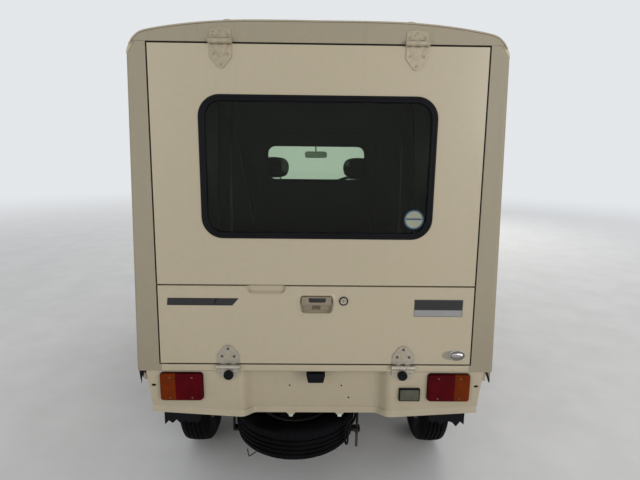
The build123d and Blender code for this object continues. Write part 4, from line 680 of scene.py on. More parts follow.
def build_floor():
    """Wide pale disc that fades into the surroundings far from the truck."""
    mesh = bmesh.new()
    bmesh.ops.create_circle(mesh, cap_ends=True, radius=FLOOR_RADIUS, segments=96)
    material, tree, sockets = new_material("studio_floor")
    tone = step_between(tree, speckle(tree, 3.0, 6.0, 0.6), 0.3, 0.7)
    pale = blend_colour(tree, tone, (0.76, 0.755, 0.75), (0.81, 0.805, 0.80))
    distance = shade(tree, "VectorMath", {0: place_of(tree)}, operation="LENGTH").outputs["Value"]
    far = step_between(tree, distance, FADE_START, FADE_END)
    link(tree, blend_colour(tree, far, pale, BLACK), sockets["Base Color"])
    link(tree, blend_colour(tree, far, BLACK, SURROUNDINGS), sockets["Emission Color"])
    for name, value in (("Emission Strength", SEEN_STRENGTH), ("Roughness", 0.9), ("Specular IOR Level", 0.0)):
        link(tree, value, sockets[name])
    floor = object_from("floor", mesh)
    floor.data.materials.append(material)
    floor.location.z = -0.0005


def build_light(scene):
    """Even white surroundings, seen pale by the camera, with two soft lamps behind the truck and one before it."""
    world = bpy.data.worlds.new("surroundings")
    world.use_nodes = True
    tree = world.node_tree
    background = tree.nodes["Background"]
    rays = shade(tree, "LightPath").outputs
    seen = maths(tree, "MAXIMUM", rays["Is Camera Ray"], rays["Is Transmission Ray"])
    seen = maths(tree, "MAXIMUM", seen, rays["Is Glossy Ray"])
    strength = maths(tree, "MULTIPLY_ADD", seen, SEEN_STRENGTH - LIT_STRENGTH, LIT_STRENGTH)
    link(tree, SURROUNDINGS, background.inputs["Color"])
    link(tree, strength, background.inputs["Strength"])
    scene.world = world
    for name, place, target, size, power in LAMPS:
        lamp = bpy.data.lights.new(name, "AREA")
        lamp.shape = "DISK"
        lamp.size = size
        lamp.energy = power
        lamp.color = LAMP_COLOUR
        holder = bpy.data.objects.new(name, lamp)
        holder.location = place
        holder.rotation_euler = (Vector(target) - Vector(place)).to_track_quat("-Z", "Y").to_euler()
        scene.collection.objects.link(holder)


def build_camera(scene):
    """Camera at the photograph's place, from its pitch, yaw and roll."""
    forward = Vector((sin(CAMERA_YAW) * cos(CAMERA_PITCH), cos(CAMERA_YAW) * cos(CAMERA_PITCH), -sin(CAMERA_PITCH)))
    level_right = Vector((cos(CAMERA_YAW), -sin(CAMERA_YAW), 0.0))
    level_down = forward.cross(level_right)
    right = level_right * cos(CAMERA_ROLL) - level_down * sin(CAMERA_ROLL)
    down = level_right * sin(CAMERA_ROLL) + level_down * cos(CAMERA_ROLL)
    data = bpy.data.cameras.new("camera")
    data.sensor_width = SENSOR_WIDTH
    data.lens = FOCAL_PIXELS / IMAGE_WIDTH * SENSOR_WIDTH
    data.clip_start = 0.05
    data.clip_end = 200.0
    camera = bpy.data.objects.new("camera", data)
    turn = Matrix((right, -down, -forward)).transposed().to_4x4()
    camera.matrix_world = Matrix.Translation(CAMERA_PLACE) @ turn
    scene.collection.objects.link(camera)
    scene.camera = camera


# Finishes of the frame's own nodes

FINISH_OF_NODE = {
    "fixed_hinge_leaves": "hinge_steel", "hatch_hinge_leaves": "painted_hinge",
    # The rear frame takes the body paint darkened as painted shade
    "tail_lamp_lenses": "red_lens", "tailgate_handle": "body_paint", "box_rear_frame": "frame_coat_darkened_for_shade",
    # The spare rim takes the darker engine metal as painted shade under the truck, in place of plain wheel steel
    "spare_rim": "engine_metal", "tail_lamp_housings": "black_rubber", "rear_small_lamps": "black_rubber",
}
EDGED_NODES = (
    "hatch_panel", "tailgate_panel", "box_rear_frame", "rear_valance", "tailgate_hinge_leaves",
    "hatch_hinge_leaves", "fixed_hinge_leaves", "tail_lamp_housings", "rear_small_lamps", "chassis_frame",
    "cross_members", "floor_bearers", "left_door", "right_door", "front_bumper", "tailgate_handle",
)


class TRUCK_OT_frame(Operator):
    """Give every part of the frame its finish, and round the edges of its sheet metal"""

    bl_idname = "kei_truck.frame"
    bl_label = "Frame finishes"

    def execute(self, context):
        slots = {item["node"]: item["material_slot"] for item in frame["record"]["subparts"]}
        for name, node in frame["nodes"].items():
            finish = FINISH_OF_NODE.get(name, slots[name])
            node.data.materials.clear()
            node.data.materials.append(FINISHES[finish])
            if name in EDGED_NODES:
                bevel = node.modifiers.new("edge", "BEVEL")
                bevel.width = context.scene.truck_sizes.edge_radius
                bevel.segments = 2
                bevel.limit_method = "ANGLE"
                bevel.angle_limit = radians(50)
                bevel.harden_normals = True
        return {"FINISHED"}


# Rear window

SEAL_CORNER = 0.078
SEAL_SECTION = (
    # distance in from the outer edge, depth
    (0.0, -0.0002), (0.0004, -0.0022), (0.0030, -0.0036), (0.0070, -0.0039), (0.0095, -0.0034), (0.0108, -0.0020),
    (0.0122, -0.0020), (0.0136, -0.0034), (0.0170, -0.0037), (0.0205, -0.0026), (0.0230, -0.0002), (0.0239, 0.0030),
    (0.0240, 0.0055), (0.0180, 0.0056), (0.0180, 0.0112), (0.0238, 0.0113), (0.0230, 0.0180), (0.0200, 0.0240),
    (0.0160, 0.0290), (0.0124, 0.0296), (0.0122, 0.0010), (0.0122, -0.0002),
)


class TRUCK_OT_window_seal(Operator):
    """Build the rounded rubber around the rear window"""

    bl_idname = "kei_truck.window_seal"
    bl_label = "Rear window rubber"

    def execute(self, context):
        mesh = bmesh.new()
        rings = []
        for inward, depth in SEAL_SECTION:
            outline = rounded_box_outline(
                (WINDOW_LOW.x + inward, WINDOW_HIGH.x - inward), (WINDOW_LOW.z + inward, WINDOW_HIGH.z - inward),
                SEAL_CORNER - inward, 14)
            rings.append([rear(*point, depth) for point in outline])
        loft(mesh, rings, closed=True)
        seal = finish_piece("hatch_window_rubber", mesh, "hatch", "black_rubber", 50.0)
        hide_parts("hatch_seal")
        return {"FINISHED"}


# Tyres

SIDEWALL, TREAD, GROOVE = 0, 1, 2
HALF_SECTION = (
    # distance from the middle of the tread, radius, kind
    (0.0050, 0.2705, TREAD), (0.0060, 0.2704, GROOVE), (0.0130, 0.2701, GROOVE), (0.0140, 0.2700, TREAD),
    (0.0270, 0.2691, TREAD), (0.0280, 0.2690, GROOVE), (0.0340, 0.2687, GROOVE), (0.0350, 0.2685, TREAD),
    (0.0440, 0.2675, TREAD), (0.0540, 0.2650, TREAD), (0.0590, 0.2610, TREAD), (0.0630, 0.2560, SIDEWALL),
    (0.0670, 0.2490, SIDEWALL), (0.0700, 0.2400, SIDEWALL), (0.0718, 0.2300, SIDEWALL), (0.0726, 0.2200, SIDEWALL),
    (0.0730, 0.2080, SIDEWALL), (0.0722, 0.2012, SIDEWALL), (0.0706, 0.2000, SIDEWALL), (0.0700, 0.1990, SIDEWALL),
    (0.0650, 0.1850, SIDEWALL), (0.0570, 0.1700, SIDEWALL), (0.0555, 0.1620, SIDEWALL), (0.0530, 0.1530, SIDEWALL),
)
TYRE_SECTION = tuple((-across, radius, kind) for across, radius, kind in reversed(HALF_SECTION)) + HALF_SECTION
PITCH_STEPS = (0.0, 0.04, 0.22, 0.26, 0.5, 0.54, 0.72, 0.76)
CROSS_SLOT = (0.04, 0.22)
ZIGZAG = 0.0012


class TRUCK_OT_tyres(Operator):
    """Build the five tyres with their treads and sidewalls"""

    bl_idname = "kei_truck.tyres"
    bl_label = "Tyres"

    def execute(self, context):
        sizes = context.scene.truck_sizes
        for corner in CORNERS:
            node = f"{corner}_tyre"
            low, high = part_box(node)
            piece = build_tyre(node + "_tread", (low + high) / 2, Matrix.Identity(3), sizes, f"{corner}_wheel")
            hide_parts(node)
        turn = Matrix.Rotation(radians(-90), 3, "Y")
        spare = build_tyre("spare_tyre_tread", (SPARE_LOW + SPARE_HIGH) / 2, turn, sizes, "root")
        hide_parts("spare_tyre")
        return {"FINISHED"}


def build_tyre(name, centre, turn, sizes, body):
    """Tyre about the X axis, with zigzag grooves round it and shallow slots across its tread."""
    mesh = bmesh.new()
    rings = []
    for pitch in range(sizes.tread_pitches):
        for step in PITCH_STEPS:
            angle = 2 * pi * (pitch + step) / sizes.tread_pitches
            sway = ZIGZAG if step < 0.5 else -ZIGZAG
            ring = []
            for across, radius, kind in TYRE_SECTION:
                depth = 0.0
                if kind == GROOVE:
                    depth = sizes.tread_depth
                elif kind == TREAD and step in CROSS_SLOT and abs(across) > 0.039:
                    depth = sizes.tread_depth * 0.3
                elif kind == TREAD and step in CROSS_SLOT and 0.012 < abs(across) < 0.03:
                    depth = sizes.tread_depth * 0.25
                moved = across + (sway if kind != SIDEWALL and abs(across) < 0.04 else 0.0)
                point = Vector((moved, (radius - depth) * cos(angle), (radius - depth) * sin(angle)))
                ring.append(Vector(centre) + turn @ point)
            rings.append(ring)
    loft(mesh, rings, closed=True)
    return finish_piece(name, mesh, body, "tyre_rubber", 30.0)


# Rubber strips and hinges of the rear gates

GATE_GAP = 0.006
GATE_TOP_INSET = 0.016
STRIP_INSET = 0.010
STRIP_DEPTH = 0.034
HATCH_LEAN = 0.007
# Black strips in the gate gaps: partly rubber seals, partly painted shade that darkens the gaps
GAP_RUBBER_AND_SHADE_DEPTH = 0.0050
GAP_RUBBER_AND_SHADE_RADIUS = 0.0029


class TRUCK_OT_weatherstrips(Operator):
    """Build the rubber strips that the rear gates close against, and black strips in the gaps around them that are
    partly seals and partly painted shade darkening the gaps
    """

    bl_idname = "kei_truck.weatherstrips"
    bl_label = "Gate weatherstrips"

    def execute(self, context):
        low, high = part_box("tailgate_panel")
        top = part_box("hatch_panel")[1]
        top_x = top.x - HATCH_LEAN - STRIP_INSET
        outline = [(low.x + STRIP_INSET, low.z + STRIP_INSET), (high.x - STRIP_INSET, low.z + STRIP_INSET),
                   (top_x, top.z - STRIP_INSET), (-top_x, top.z - STRIP_INSET)]
        path = [rear(*point, STRIP_DEPTH) for point in rounded_outline(outline, 0.03, 6)]
        bar("doorway_weatherstrip", "root", "black_rubber", path, 0.0035, closed=True)
        path = [rear(x, high.z - 0.012, 0.0325) for x in (low.x + 0.03, high.x - 0.03)]
        bar("split_weatherstrip", "tailgate", "black_rubber", path, 0.0025)
        self.gap_rubbers_and_shade(low, high, top)
        return {"FINISHED"}

    def gap_rubbers_and_shade(self, low, high, top):
        """Black strips in the gaps beside the gates and above the hatch: partly rubber seals, partly painted shade that
        darkens the gaps.
        """
        lean = GATE_TOP_INSET / (top.z - low.z)

        def beside(side, z, lift=0.0):
            return rear(side * (-low.x - lean * (z - low.z) + GATE_GAP / 2), z + lift, GAP_RUBBER_AND_SHADE_DEPTH)

        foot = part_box("hatch_panel")[0].z
        path = [beside(-1, foot, 0.002), beside(-1, top.z, GATE_GAP / 2), beside(1, top.z, GATE_GAP / 2),
                beside(1, foot, 0.002)]
        bar("hatch_edge_rubber", "hatch", "black_rubber", path, GAP_RUBBER_AND_SHADE_RADIUS)
        mesh = bmesh.new()
        for side in (-1, 1):
            swept(mesh, [beside(side, low.z, 0.001), beside(side, high.z, -0.002)], GAP_RUBBER_AND_SHADE_RADIUS, 8)
        finish_piece("tailgate_gap_rubber_and_shade", mesh, "tailgate", "black_rubber")


HINGE_SCREWS = (
    # body, hinge, X from the hinge's middle, Z, finish
    ("root", "hatch", 0.0, 1.9135, "painted_hinge"), ("root", "hatch", -0.026, 1.900, "painted_hinge"),
    ("root", "hatch", 0.026, 1.900, "painted_hinge"), ("hatch", "hatch", -0.0235, 1.839, "painted_hinge"),
    ("hatch", "hatch", 0.0235, 1.839, "painted_hinge"), ("hatch", "hatch", 0.0, 1.806, "painted_hinge"),
    ("tailgate", "tail", 0.0, 0.7625, "rusty_screw"), ("tailgate", "tail", -0.0235, 0.7315, "rusty_screw"),
    ("tailgate", "tail", 0.0235, 0.7315, "rusty_screw"), ("root", "tail", -0.0315, 0.6655, "zinc_steel"),
    ("root", "tail", 0.0315, 0.6655, "zinc_steel"),
)
HINGE_X = {"hatch": 0.336, "tail": 0.340}
LEAF_THICKNESS = 0.004
BOSS_Z = 0.735
BOSS_PROFILE = ((0.0, 0.0115), (-0.0009, 0.0102), (-0.0012, 0.0086), (-0.0004, 0.0062), (-0.0004, 0.0))
BEND_TOP, BEND_FOOT, BEND_HALF_WIDTH = 1.866, 1.826, 0.028
BUFFER_Z = 0.655
BUFFER_PROFILE = (
    # distance from the leaf, radius
    (0.0, 0.0186), (-0.0030, 0.0192), (-0.0095, 0.0186), (-0.0116, 0.0166), (-0.0121, 0.0130), (-0.0121, 0.0074),
    (-0.0113, 0.0062), (-0.0113, 0.0),
)


def screw_head(mesh, u, v, w, radius, turn):
    """Domed head with a pressed cross, its base at depth w."""
    rings = []
    segments = 32
    for radial, rise in ((1.0, 0.0), (1.0, 0.12), (0.93, 0.2), (0.8, 0.27), (0.62, 0.32), (0.45, 0.35), (0.2, 0.36)):
        ring = []
        for step in range(segments):
            angle = 2 * pi * step / segments
            x, z = radial * cos(angle), radial * sin(angle)
            arm = min(abs(x * cos(turn) + z * sin(turn)), abs(z * cos(turn) - x * sin(turn)))
            sunk = 0.25 if radial < 0.7 and arm < 0.12 else 0.0
            ring.append(rear(u + x * radius, v + z * radius, w - (rise - sunk) * radius))
        rings.append(ring)
    loft(mesh, rings)


class TRUCK_OT_hinge_screws(Operator):
    """Screw the hinge leaves to the gates, press their bosses and cap the rubber buffers"""

    bl_idname = "kei_truck.hinge_screws"
    bl_label = "Hinge screws"

    def execute(self, context):
        radius = context.scene.truck_sizes.screw_radius
        draw = Random(4)
        groups = defaultdict(bmesh.new)
        for body, hinge, along, z, finish in HINGE_SCREWS:
            for side in (-1, 1):
                x = side * HINGE_X[hinge] + along
                screw_head(groups[body, hinge, finish], x, z, -LEAF_THICKNESS, radius, draw.uniform(0, pi / 2))
        for (body, hinge, finish), mesh in groups.items():
            finish_piece(f"{hinge}_hinge_screws_on_{body}", mesh, body, finish)
        bosses, bends, caps = bmesh.new(), bmesh.new(), bmesh.new()
        for side in (-1, 1):
            x = side * HINGE_X["tail"]
            turned(bosses, BOSS_PROFILE, rear(x, BOSS_Z, -LEAF_THICKNESS), (0, 1, 0), 28)
            turned(caps, BUFFER_PROFILE, rear(x, BUFFER_Z, -LEAF_THICKNESS), (0, 1, 0), 32)
            x = side * HINGE_X["hatch"]
            bend = [(x - BEND_HALF_WIDTH, BEND_TOP), (x, BEND_FOOT), (x + BEND_HALF_WIDTH, BEND_TOP)]
            swept(bends, smooth_path([rear(*point, -LEAF_THICKNESS + 0.0004) for point in bend], 5), 0.0016, 8)
        finish_piece("tail_hinge_bosses", bosses, "tailgate", "painted_hinge")
        finish_piece("hatch_hinge_presswork", bends, "hatch", "painted_hinge")
        finish_piece("hinge_buffer_caps", caps, "root", "black_rubber")
        return {"FINISHED"}


# Handle and lock

LOCK_X, LOCK_Z = 0.103, 0.958
LOCK_PIECES = (
    # name, slot, material, profile of (distance from the gate, radius)
    ("lock_shroud", "black_plastic", "decal_black", (
        (0.0, 0.0176), (-0.0034, 0.0175), (-0.0046, 0.0166), (-0.0048, 0.0146), (-0.0038, 0.0134), (-0.0032, 0.0130),
        (-0.0032, 0.0))),
    ("lock_ring", "zinc_steel", "zinc_steel", (
        (-0.0030, 0.0126), (-0.0040, 0.0122), (-0.0044, 0.0108), (-0.0040, 0.0090), (-0.0034, 0.0084), (-0.0034, 0.0))),
    ("lock_barrel", "zinc_steel", "painted_hinge", (
        (-0.0032, 0.0074), (-0.0042, 0.0072), (-0.0046, 0.0062), (-0.0046, 0.0))),
)
FINGER_X = -0.190
FINGER_LIP = ((0.050, 0.9838), (0.057, 0.9845), (0.067, 0.9905), (0.0755, 1.0040), (0.0865, 1.0128))
FINGER_FILLET = ((0.0755, 1.0040), (0.067, 0.9905), (0.057, 0.9845), (0.056, 0.9828), (0.0755, 0.9828))
HANDLE_RIM = ((-0.0675, 0.953), (-0.061, 0.980), (0.061, 0.980), (0.0675, 0.953), (0.061, 0.904), (-0.061, 0.904))
HANDLE_RIM_STEPS = (
    # distance inwards, depth
    (-0.0085, -0.0001), (-0.0055, -0.0016), (-0.0025, -0.0024), (0.0005, -0.0018), (0.0030, 0.0006),
    (0.0040, 0.0080), (0.0042, 0.0192), (0.0, 0.0192), (0.0, 0.0004),
)
HANDLE_PLATES = (
    # name, slot, material, corners, corner reach, corner steps, near, far, edge
    # Black plate painted as the shade inside the lever's slot
    ("lever_slot_painted_shade", "black_plastic", "decal_black",
     ((-0.031, 0.9675), (0.037, 0.9670), (0.034, 0.9500), (-0.028, 0.9500)), 0.006, 4, 0.0018, 0.0030, 0.0006),
    # The recess pan takes the body paint darkened as painted shade in the recess
    ("handle_recess_pan", "body_paint", "paint_darkened_for_shade",
     ((-0.056, 0.938), (0.056, 0.938), (0.054, 0.911), (-0.054, 0.911)), 0.008, 4, 0.0165, 0.0196, 0.003),
    ("handle_recess_stop", "black_plastic", "rusty_screw",
     ((-0.016, 0.934), (0.016, 0.934), (0.016, 0.918), (-0.016, 0.918)), 0.003, 3, 0.0155, 0.0166, 0.0005),
)


class TRUCK_OT_handle(Operator):
    """Build the pressed rim of the handle recess, its lever, the key lock and the lip of the finger recess"""

    bl_idname = "kei_truck.handle"
    bl_label = "Tailgate handle"

    def execute(self, context):
        mesh = bmesh.new()
        loft(mesh, stepped(rounded_outline(HANDLE_RIM, 0.014, 6), HANDLE_RIM_STEPS), closed=True)
        finish_piece("handle_rim", mesh, "tailgate", "body_paint", 60)
        # Lever face in body paint darkened as painted shade in the recess
        mesh = bmesh.new()
        lever = rounded_outline([(-0.0555, 0.9705), (0.0555, 0.9705), (0.0565, 0.9395), (-0.0565, 0.9395)], 0.006, 4)
        slab(mesh, lever, 0.0028, 0.0040, 0.001)
        swept(mesh, [rear(-0.055, 0.9405, 0.0036), rear(0.055, 0.9405, 0.0036)], 0.0022, 10)
        finish_piece("handle_lever_face", mesh, "tailgate", "paint_darkened_for_shade")
        for name, slot, material, corners, reach, steps, near, far, edge in HANDLE_PLATES:
            plate(name, "tailgate", material, rounded_outline(corners, reach, steps), near, far, edge)
        centre = rear(LOCK_X, LOCK_Z, 0.0)
        for name, slot, material, profile in LOCK_PIECES:
            mesh = bmesh.new()
            turned(mesh, profile, centre, (0, 1, 0), 40)
            finish_piece(name, mesh, "tailgate", material)
        # Black bar painted as the shade inside the keyhole
        mesh = bmesh.new()
        block(mesh, centre + Vector((-0.0009, -0.0049, -0.0046)), centre + Vector((0.0009, -0.0040, 0.0046)), 0.0)
        finish_piece("keyway_painted_shade", mesh, "tailgate", "decal_black")
        mesh = bmesh.new()
        lip = []
        for side in (-1, 1):
            slab(mesh, [(FINGER_X + side * u, v) for u, v in FINGER_FILLET][::side], -0.0002, 0.0030)
            lip += [(FINGER_X + side * u, v) for u, v in FINGER_LIP[::side]]
        swept(mesh, smooth_path([rear(*point, 0.0001) for point in lip], 3), 0.0014, 8)
        finish_piece("finger_recess_lip", mesh, "tailgate", "body_paint")
        return {"FINISHED"}


# Rear lamps

LENS_INNER_X = 0.443
AMBER_SHARE = 0.37
LENS_STEPS = (
    # distance inwards, share of the lens's height
    (0.0, 0.0), (0.0002, 0.6), (0.0014, 0.85), (0.0036, 0.97), (0.0070, 1.0),
)


class TRUCK_OT_rear_lamps(Operator):
    """Build the two-colour tail lamps with their screws, and the small lamps"""

    bl_idname = "kei_truck.rear_lamps"
    bl_label = "Rear lamps"

    def execute(self, context):
        low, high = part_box("tail_lamp_lenses")
        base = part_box("tail_lamp_housings")[0].y - GATE_Y
        proud = low.y - GATE_Y - base
        width, height = high.x - LENS_INNER_X, high.z - low.z
        split = high.x - width * AMBER_SHARE
        outline = rounded_box_outline((LENS_INNER_X, high.x), (low.z, high.z), 0.012, 6)
        screws, halves = bmesh.new(), {"red": bmesh.new(), "amber": bmesh.new()}
        for side in (-1, 1):
            for colour, keep in (("red", min), ("amber", max)):
                loft(halves[colour], stepped(
                    outline, LENS_STEPS, lambda u, v, share: rear(side * keep(u, split), v, base + proud * share)))
            for across in (0.24, 0.76):
                for up in (0.12, 0.87):
                    x = side * (LENS_INNER_X + width * across)
                    screw_head(screws, x, low.z + height * up, base + proud, 0.0036, 0.4)
        for colour, mesh in halves.items():
            piece = finish_piece(f"tail_lamp_{colour}", mesh, "root", f"{colour}_lens", 40)
            if colour == "red":
                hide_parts("tail_lamp_lenses")
        finish_piece("tail_lamp_screws", screws, "root", "rusty_screw")
        self.small_lamps()
        return {"FINISHED"}

    def small_lamps(self):
        """Face and screws of the reverse lamp, and the window under the plate lamp."""
        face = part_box("tail_lamp_housings")[1].y - GATE_Y - 0.010
        outline = rounded_box_outline((0.3345, 0.4085), (0.549, 0.5935), 0.004)
        plate("reverse_lamp_lens", "root", "clear_lens", outline, face - 0.0022, face + 0.0002, 0.0012)
        mesh = bmesh.new()
        for u in (0.340, 0.403):
            screw_head(mesh, u, 0.571, face - 0.0020, 0.0030, 0.2)
        finish_piece("reverse_lamp_screws", mesh, "root", "rusty_screw")
        mesh = bmesh.new()
        block(mesh, rear(-0.024, 0.6215, -0.004), rear(0.024, 0.6235, 0.030), 0.0004)
        finish_piece("plate_lamp_window", mesh, "root", "clear_lens")


# Plain markings

STRIPE_FOOT, STRIPE_TOP = 0.937, 0.966
STRIPE_BORDER = 0.0045
STRIPES = (
    # name, X of the lower corners, lean of the right end, growth over the bright face, finish
    ("stripe_border", -0.5665, -0.3870, 0.010, STRIPE_BORDER, "decal_black"),
    ("stripe_face", -0.5665, -0.3870, 0.010, 0.0, "decal_grey"),
    ("stripe_red_border", -0.3885, -0.3195, 0.025, STRIPE_BORDER, "decal_black"),
    ("stripe_red_face", -0.3885, -0.3195, 0.025, 0.0, "decal_red"),
)
BADGE = (0.5510, 0.738)
BADGE_RIM_STEPS = (
    # distance inwards, depth
    (0.0, 0.0), (0.0, -0.0022), (0.0010, -0.0034), (0.0026, -0.0034), (0.0036, -0.0016), (0.0038, 0.0),
)
BADGE_BOSS_STEPS = ((0.0, -0.0010), (0.0006, -0.0026), (0.0030, -0.0040), (0.0055, -0.0045))


class TRUCK_OT_markings(Operator):
    """Put the plain stripes, side plate, disc and oval badge on the gates"""

    bl_idname = "kei_truck.markings"
    bl_label = "Plain markings"

    def execute(self, context):
        for name, left, right, lean, reach, material in STRIPES:
            corners = [(left, STRIPE_FOOT), (right, STRIPE_FOOT), (right + lean, STRIPE_TOP),
                       (left + 0.3 * lean, STRIPE_TOP)]
            outline = rounded_outline(inset(corners, STRIPE_BORDER - reach), 0.002, 2)
            plate(name, "tailgate", material, outline, -0.0003 - reach / 10, 0.0)
        self.side_plate()
        self.disc()
        self.badge()
        return {"FINISHED"}

    def side_plate(self):
        """Blank plate: black above, silver below, with a thin grey border."""
        left, right, foot, top = 0.3725, 0.5600, 0.8970, 0.9660
        split = foot + (top - foot) * 0.40
        for name, grow, low, high, depth, material in (
            ("side_plate_border", 0.0, foot, top, -0.0004, "decal_grey"),
            ("side_plate_black", 0.0022, split, top - 0.0022, -0.0006, "decal_black"),
            ("side_plate_silver", 0.0022, foot + 0.0022, split - 0.0015, -0.0006, "decal_silver"),
        ):
            outline = rounded_box_outline((left + grow, right - grow), (low, high), 0.0012, 3)
            plate(name, "tailgate", material, outline, depth, 0.0)

    def disc(self):
        """Round blank sticker on the lower right of the window glass."""
        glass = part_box("hatch_glass")[0].y
        centre = Vector((0.356, glass - 0.0003, 1.272))
        for name, outer, inner, material in (
            ("disc_rim", 0.0365, 0.0310, "decal_blue"), ("disc_field", 0.0310, 0.0001, "decal_cream"),
        ):
            mesh = bmesh.new()
            turned(mesh, [(0.0002, outer), (0.0, outer), (0.0, inner), (0.0002, inner)], centre, (0, 1, 0), 48)
            finish_piece(name, mesh, "hatch", material)
        depth = centre.y - GATE_Y
        band = rounded_box_outline((centre.x - 0.029, centre.x + 0.029), (centre.z - 0.001, centre.z + 0.005), 0.001, 2)
        plate("disc_band", "hatch", "decal_blue", band, depth - 0.0004, depth - 0.0001)

    def badge(self):
        """Plain oval chrome badge over a faded grey oval."""
        plate("oval_badge_field", "tailgate", "decal_faded",
              oval_outline(0.525, 0.738, 0.033, 0.019), -0.0004, 0.0)
        mesh = bmesh.new()
        loft(mesh, stepped(oval_outline(*BADGE, 0.0315, 0.0225), BADGE_RIM_STEPS), closed=True)
        finish_piece("oval_badge_rim", mesh, "tailgate", "chrome")
        plate("oval_badge_ground", "tailgate", "decal_grey",
              oval_outline(*BADGE, 0.0285, 0.0195), -0.0012, 0.0)
        mesh = bmesh.new()
        loft(mesh, stepped(oval_outline(BADGE[0], BADGE[1] + 0.0015, 0.0230, 0.0085), BADGE_BOSS_STEPS))
        finish_piece("oval_badge_boss", mesh, "tailgate", "chrome")


# Flaps, spare wheel fittings and small brackets

FLAP_X, FLAP_HALF_WIDTH, FLAP_FOOT = 0.581, 0.078, 0.352
CLAMP_X, CLAMP_HALF_WIDTH = 0.5815, 0.076
CLIP_X, CLIP_HALF_WIDTH = 0.637, 0.015
TAB_X, TAB_HALF_WIDTH = 0.1, 0.0078
SILL_HALF_WIDTH, SILL_FOOT, SILL_TOP = 0.600, 0.6705, 0.6955
ROD_TURNS, ROD_PITCH = 59, 0.0019
LOOP_DEPTH = 0.180


def torn_edge(u_low, u_high, v, depth, draw, teeth):
    """Jagged lower edge from one side to the other."""
    points = []
    for index in range(teeth + 1):
        share = index / teeth
        drop = draw.uniform(0.15, 1.0) * depth if index % 2 else draw.uniform(0.0, 0.35) * depth
        points.append((u_low + (u_high - u_low) * share, v - drop))
    return points


class TRUCK_OT_flaps(Operator):
    """Build the torn mudflaps and corner flaps, the clips and caps of the valance, and the sill strip"""

    bl_idname = "kei_truck.flaps"
    bl_label = "Torn flaps and valance trims"

    def execute(self, context):
        low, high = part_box("mudflaps")
        middle = (low.y + high.y) / 2 - GATE_Y
        draw = Random(11)
        mesh = bmesh.new()
        for side in (-1, 1):
            inner, outer = FLAP_X - FLAP_HALF_WIDTH, FLAP_X + FLAP_HALF_WIDTH
            edge = torn_edge(inner, outer, FLAP_FOOT, 0.032, draw, 9)
            outline = [(side * u, v) for u, v in ((outer, high.z - 0.005), (inner, high.z - 0.005), *edge)]
            slab(mesh, outline, middle - 0.003, middle + 0.003)
            block(mesh, rear(side * CLAMP_X - CLAMP_HALF_WIDTH, high.z - 0.060, middle - 0.0066),
                  rear(side * CLAMP_X + CLAMP_HALF_WIDTH, high.z - 0.042, middle - 0.0030), 0.001)
        flaps = finish_piece("torn_mudflaps", mesh, "root", "black_rubber", 20)
        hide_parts("mudflaps")
        mesh = bmesh.new()
        slab(mesh, [(-0.7025, 0.668), (-0.671, 0.668), (-0.675, 0.640), (-0.682, 0.648), (-0.686, 0.622),
                    (-0.690, 0.634), (-0.6945, 0.597), (-0.6985, 0.628)], 0.030, 0.033)
        slab(mesh, [(0.673, 0.667), (0.681, 0.667), (0.6965, 0.622), (0.6925, 0.618)], 0.018, 0.0215)
        finish_piece("torn_corner_flaps", mesh, "root", "black_rubber", 20)
        bracket = [(0.672, 0.667), (0.6965, 0.667), (0.6965, 0.611), (0.6935, 0.611), (0.679, 0.648), (0.672, 0.656)]
        plate("corner_flap_bracket", "root", "paint_darkened_for_shade", bracket, 0.022, 0.026, 0.0006, 20)
        clips, caps = bmesh.new(), bmesh.new()
        for side in (-1, 1):
            ends = (side * CLIP_X - CLIP_HALF_WIDTH, side * CLIP_X + CLIP_HALF_WIDTH)
            slab(clips, rounded_box_outline(ends, (0.595, 0.615), 0.003, 3), 0.0084, 0.0120, 0.0006)
            block(caps, rear(side * TAB_X - TAB_HALF_WIDTH, VALANCE_LOW.z + 0.0003, 0.0462),
                  rear(side * TAB_X + TAB_HALF_WIDTH, VALANCE_LOW.z + 0.0115, 0.0535), 0.0018)
        finish_piece("slot_clips", clips, "root", "black_rubber")
        finish_piece("valance_tab_caps", caps, "root", "decal_white")
        self.sill()
        return {"FINISHED"}

    def sill(self):
        """Light folded strip under the tailgate, and a dark bead below it that is painted as the strip's shadow line.
        """
        mesh = bmesh.new()
        left, right = -SILL_HALF_WIDTH, SILL_HALF_WIDTH
        slab(mesh, [(left, SILL_FOOT), (right, SILL_FOOT), (right, SILL_TOP), (left, SILL_TOP)], -0.0016, 0.0, 0.0015)
        swept(mesh, [rear(x, SILL_FOOT + 0.002, -0.0006) for x in (left, right)], 0.0022, 12)
        finish_piece("sill_strip", mesh, "root", "body_paint")
        # Dark bead under the strip, painted as its shadow line
        path = [rear(x, SILL_FOOT - 0.003, 0.0036) for x in (-0.656, 0.656)]
        bar("sill_shadow_line", "root", "paint_darkened_for_shade", path, 0.0014)


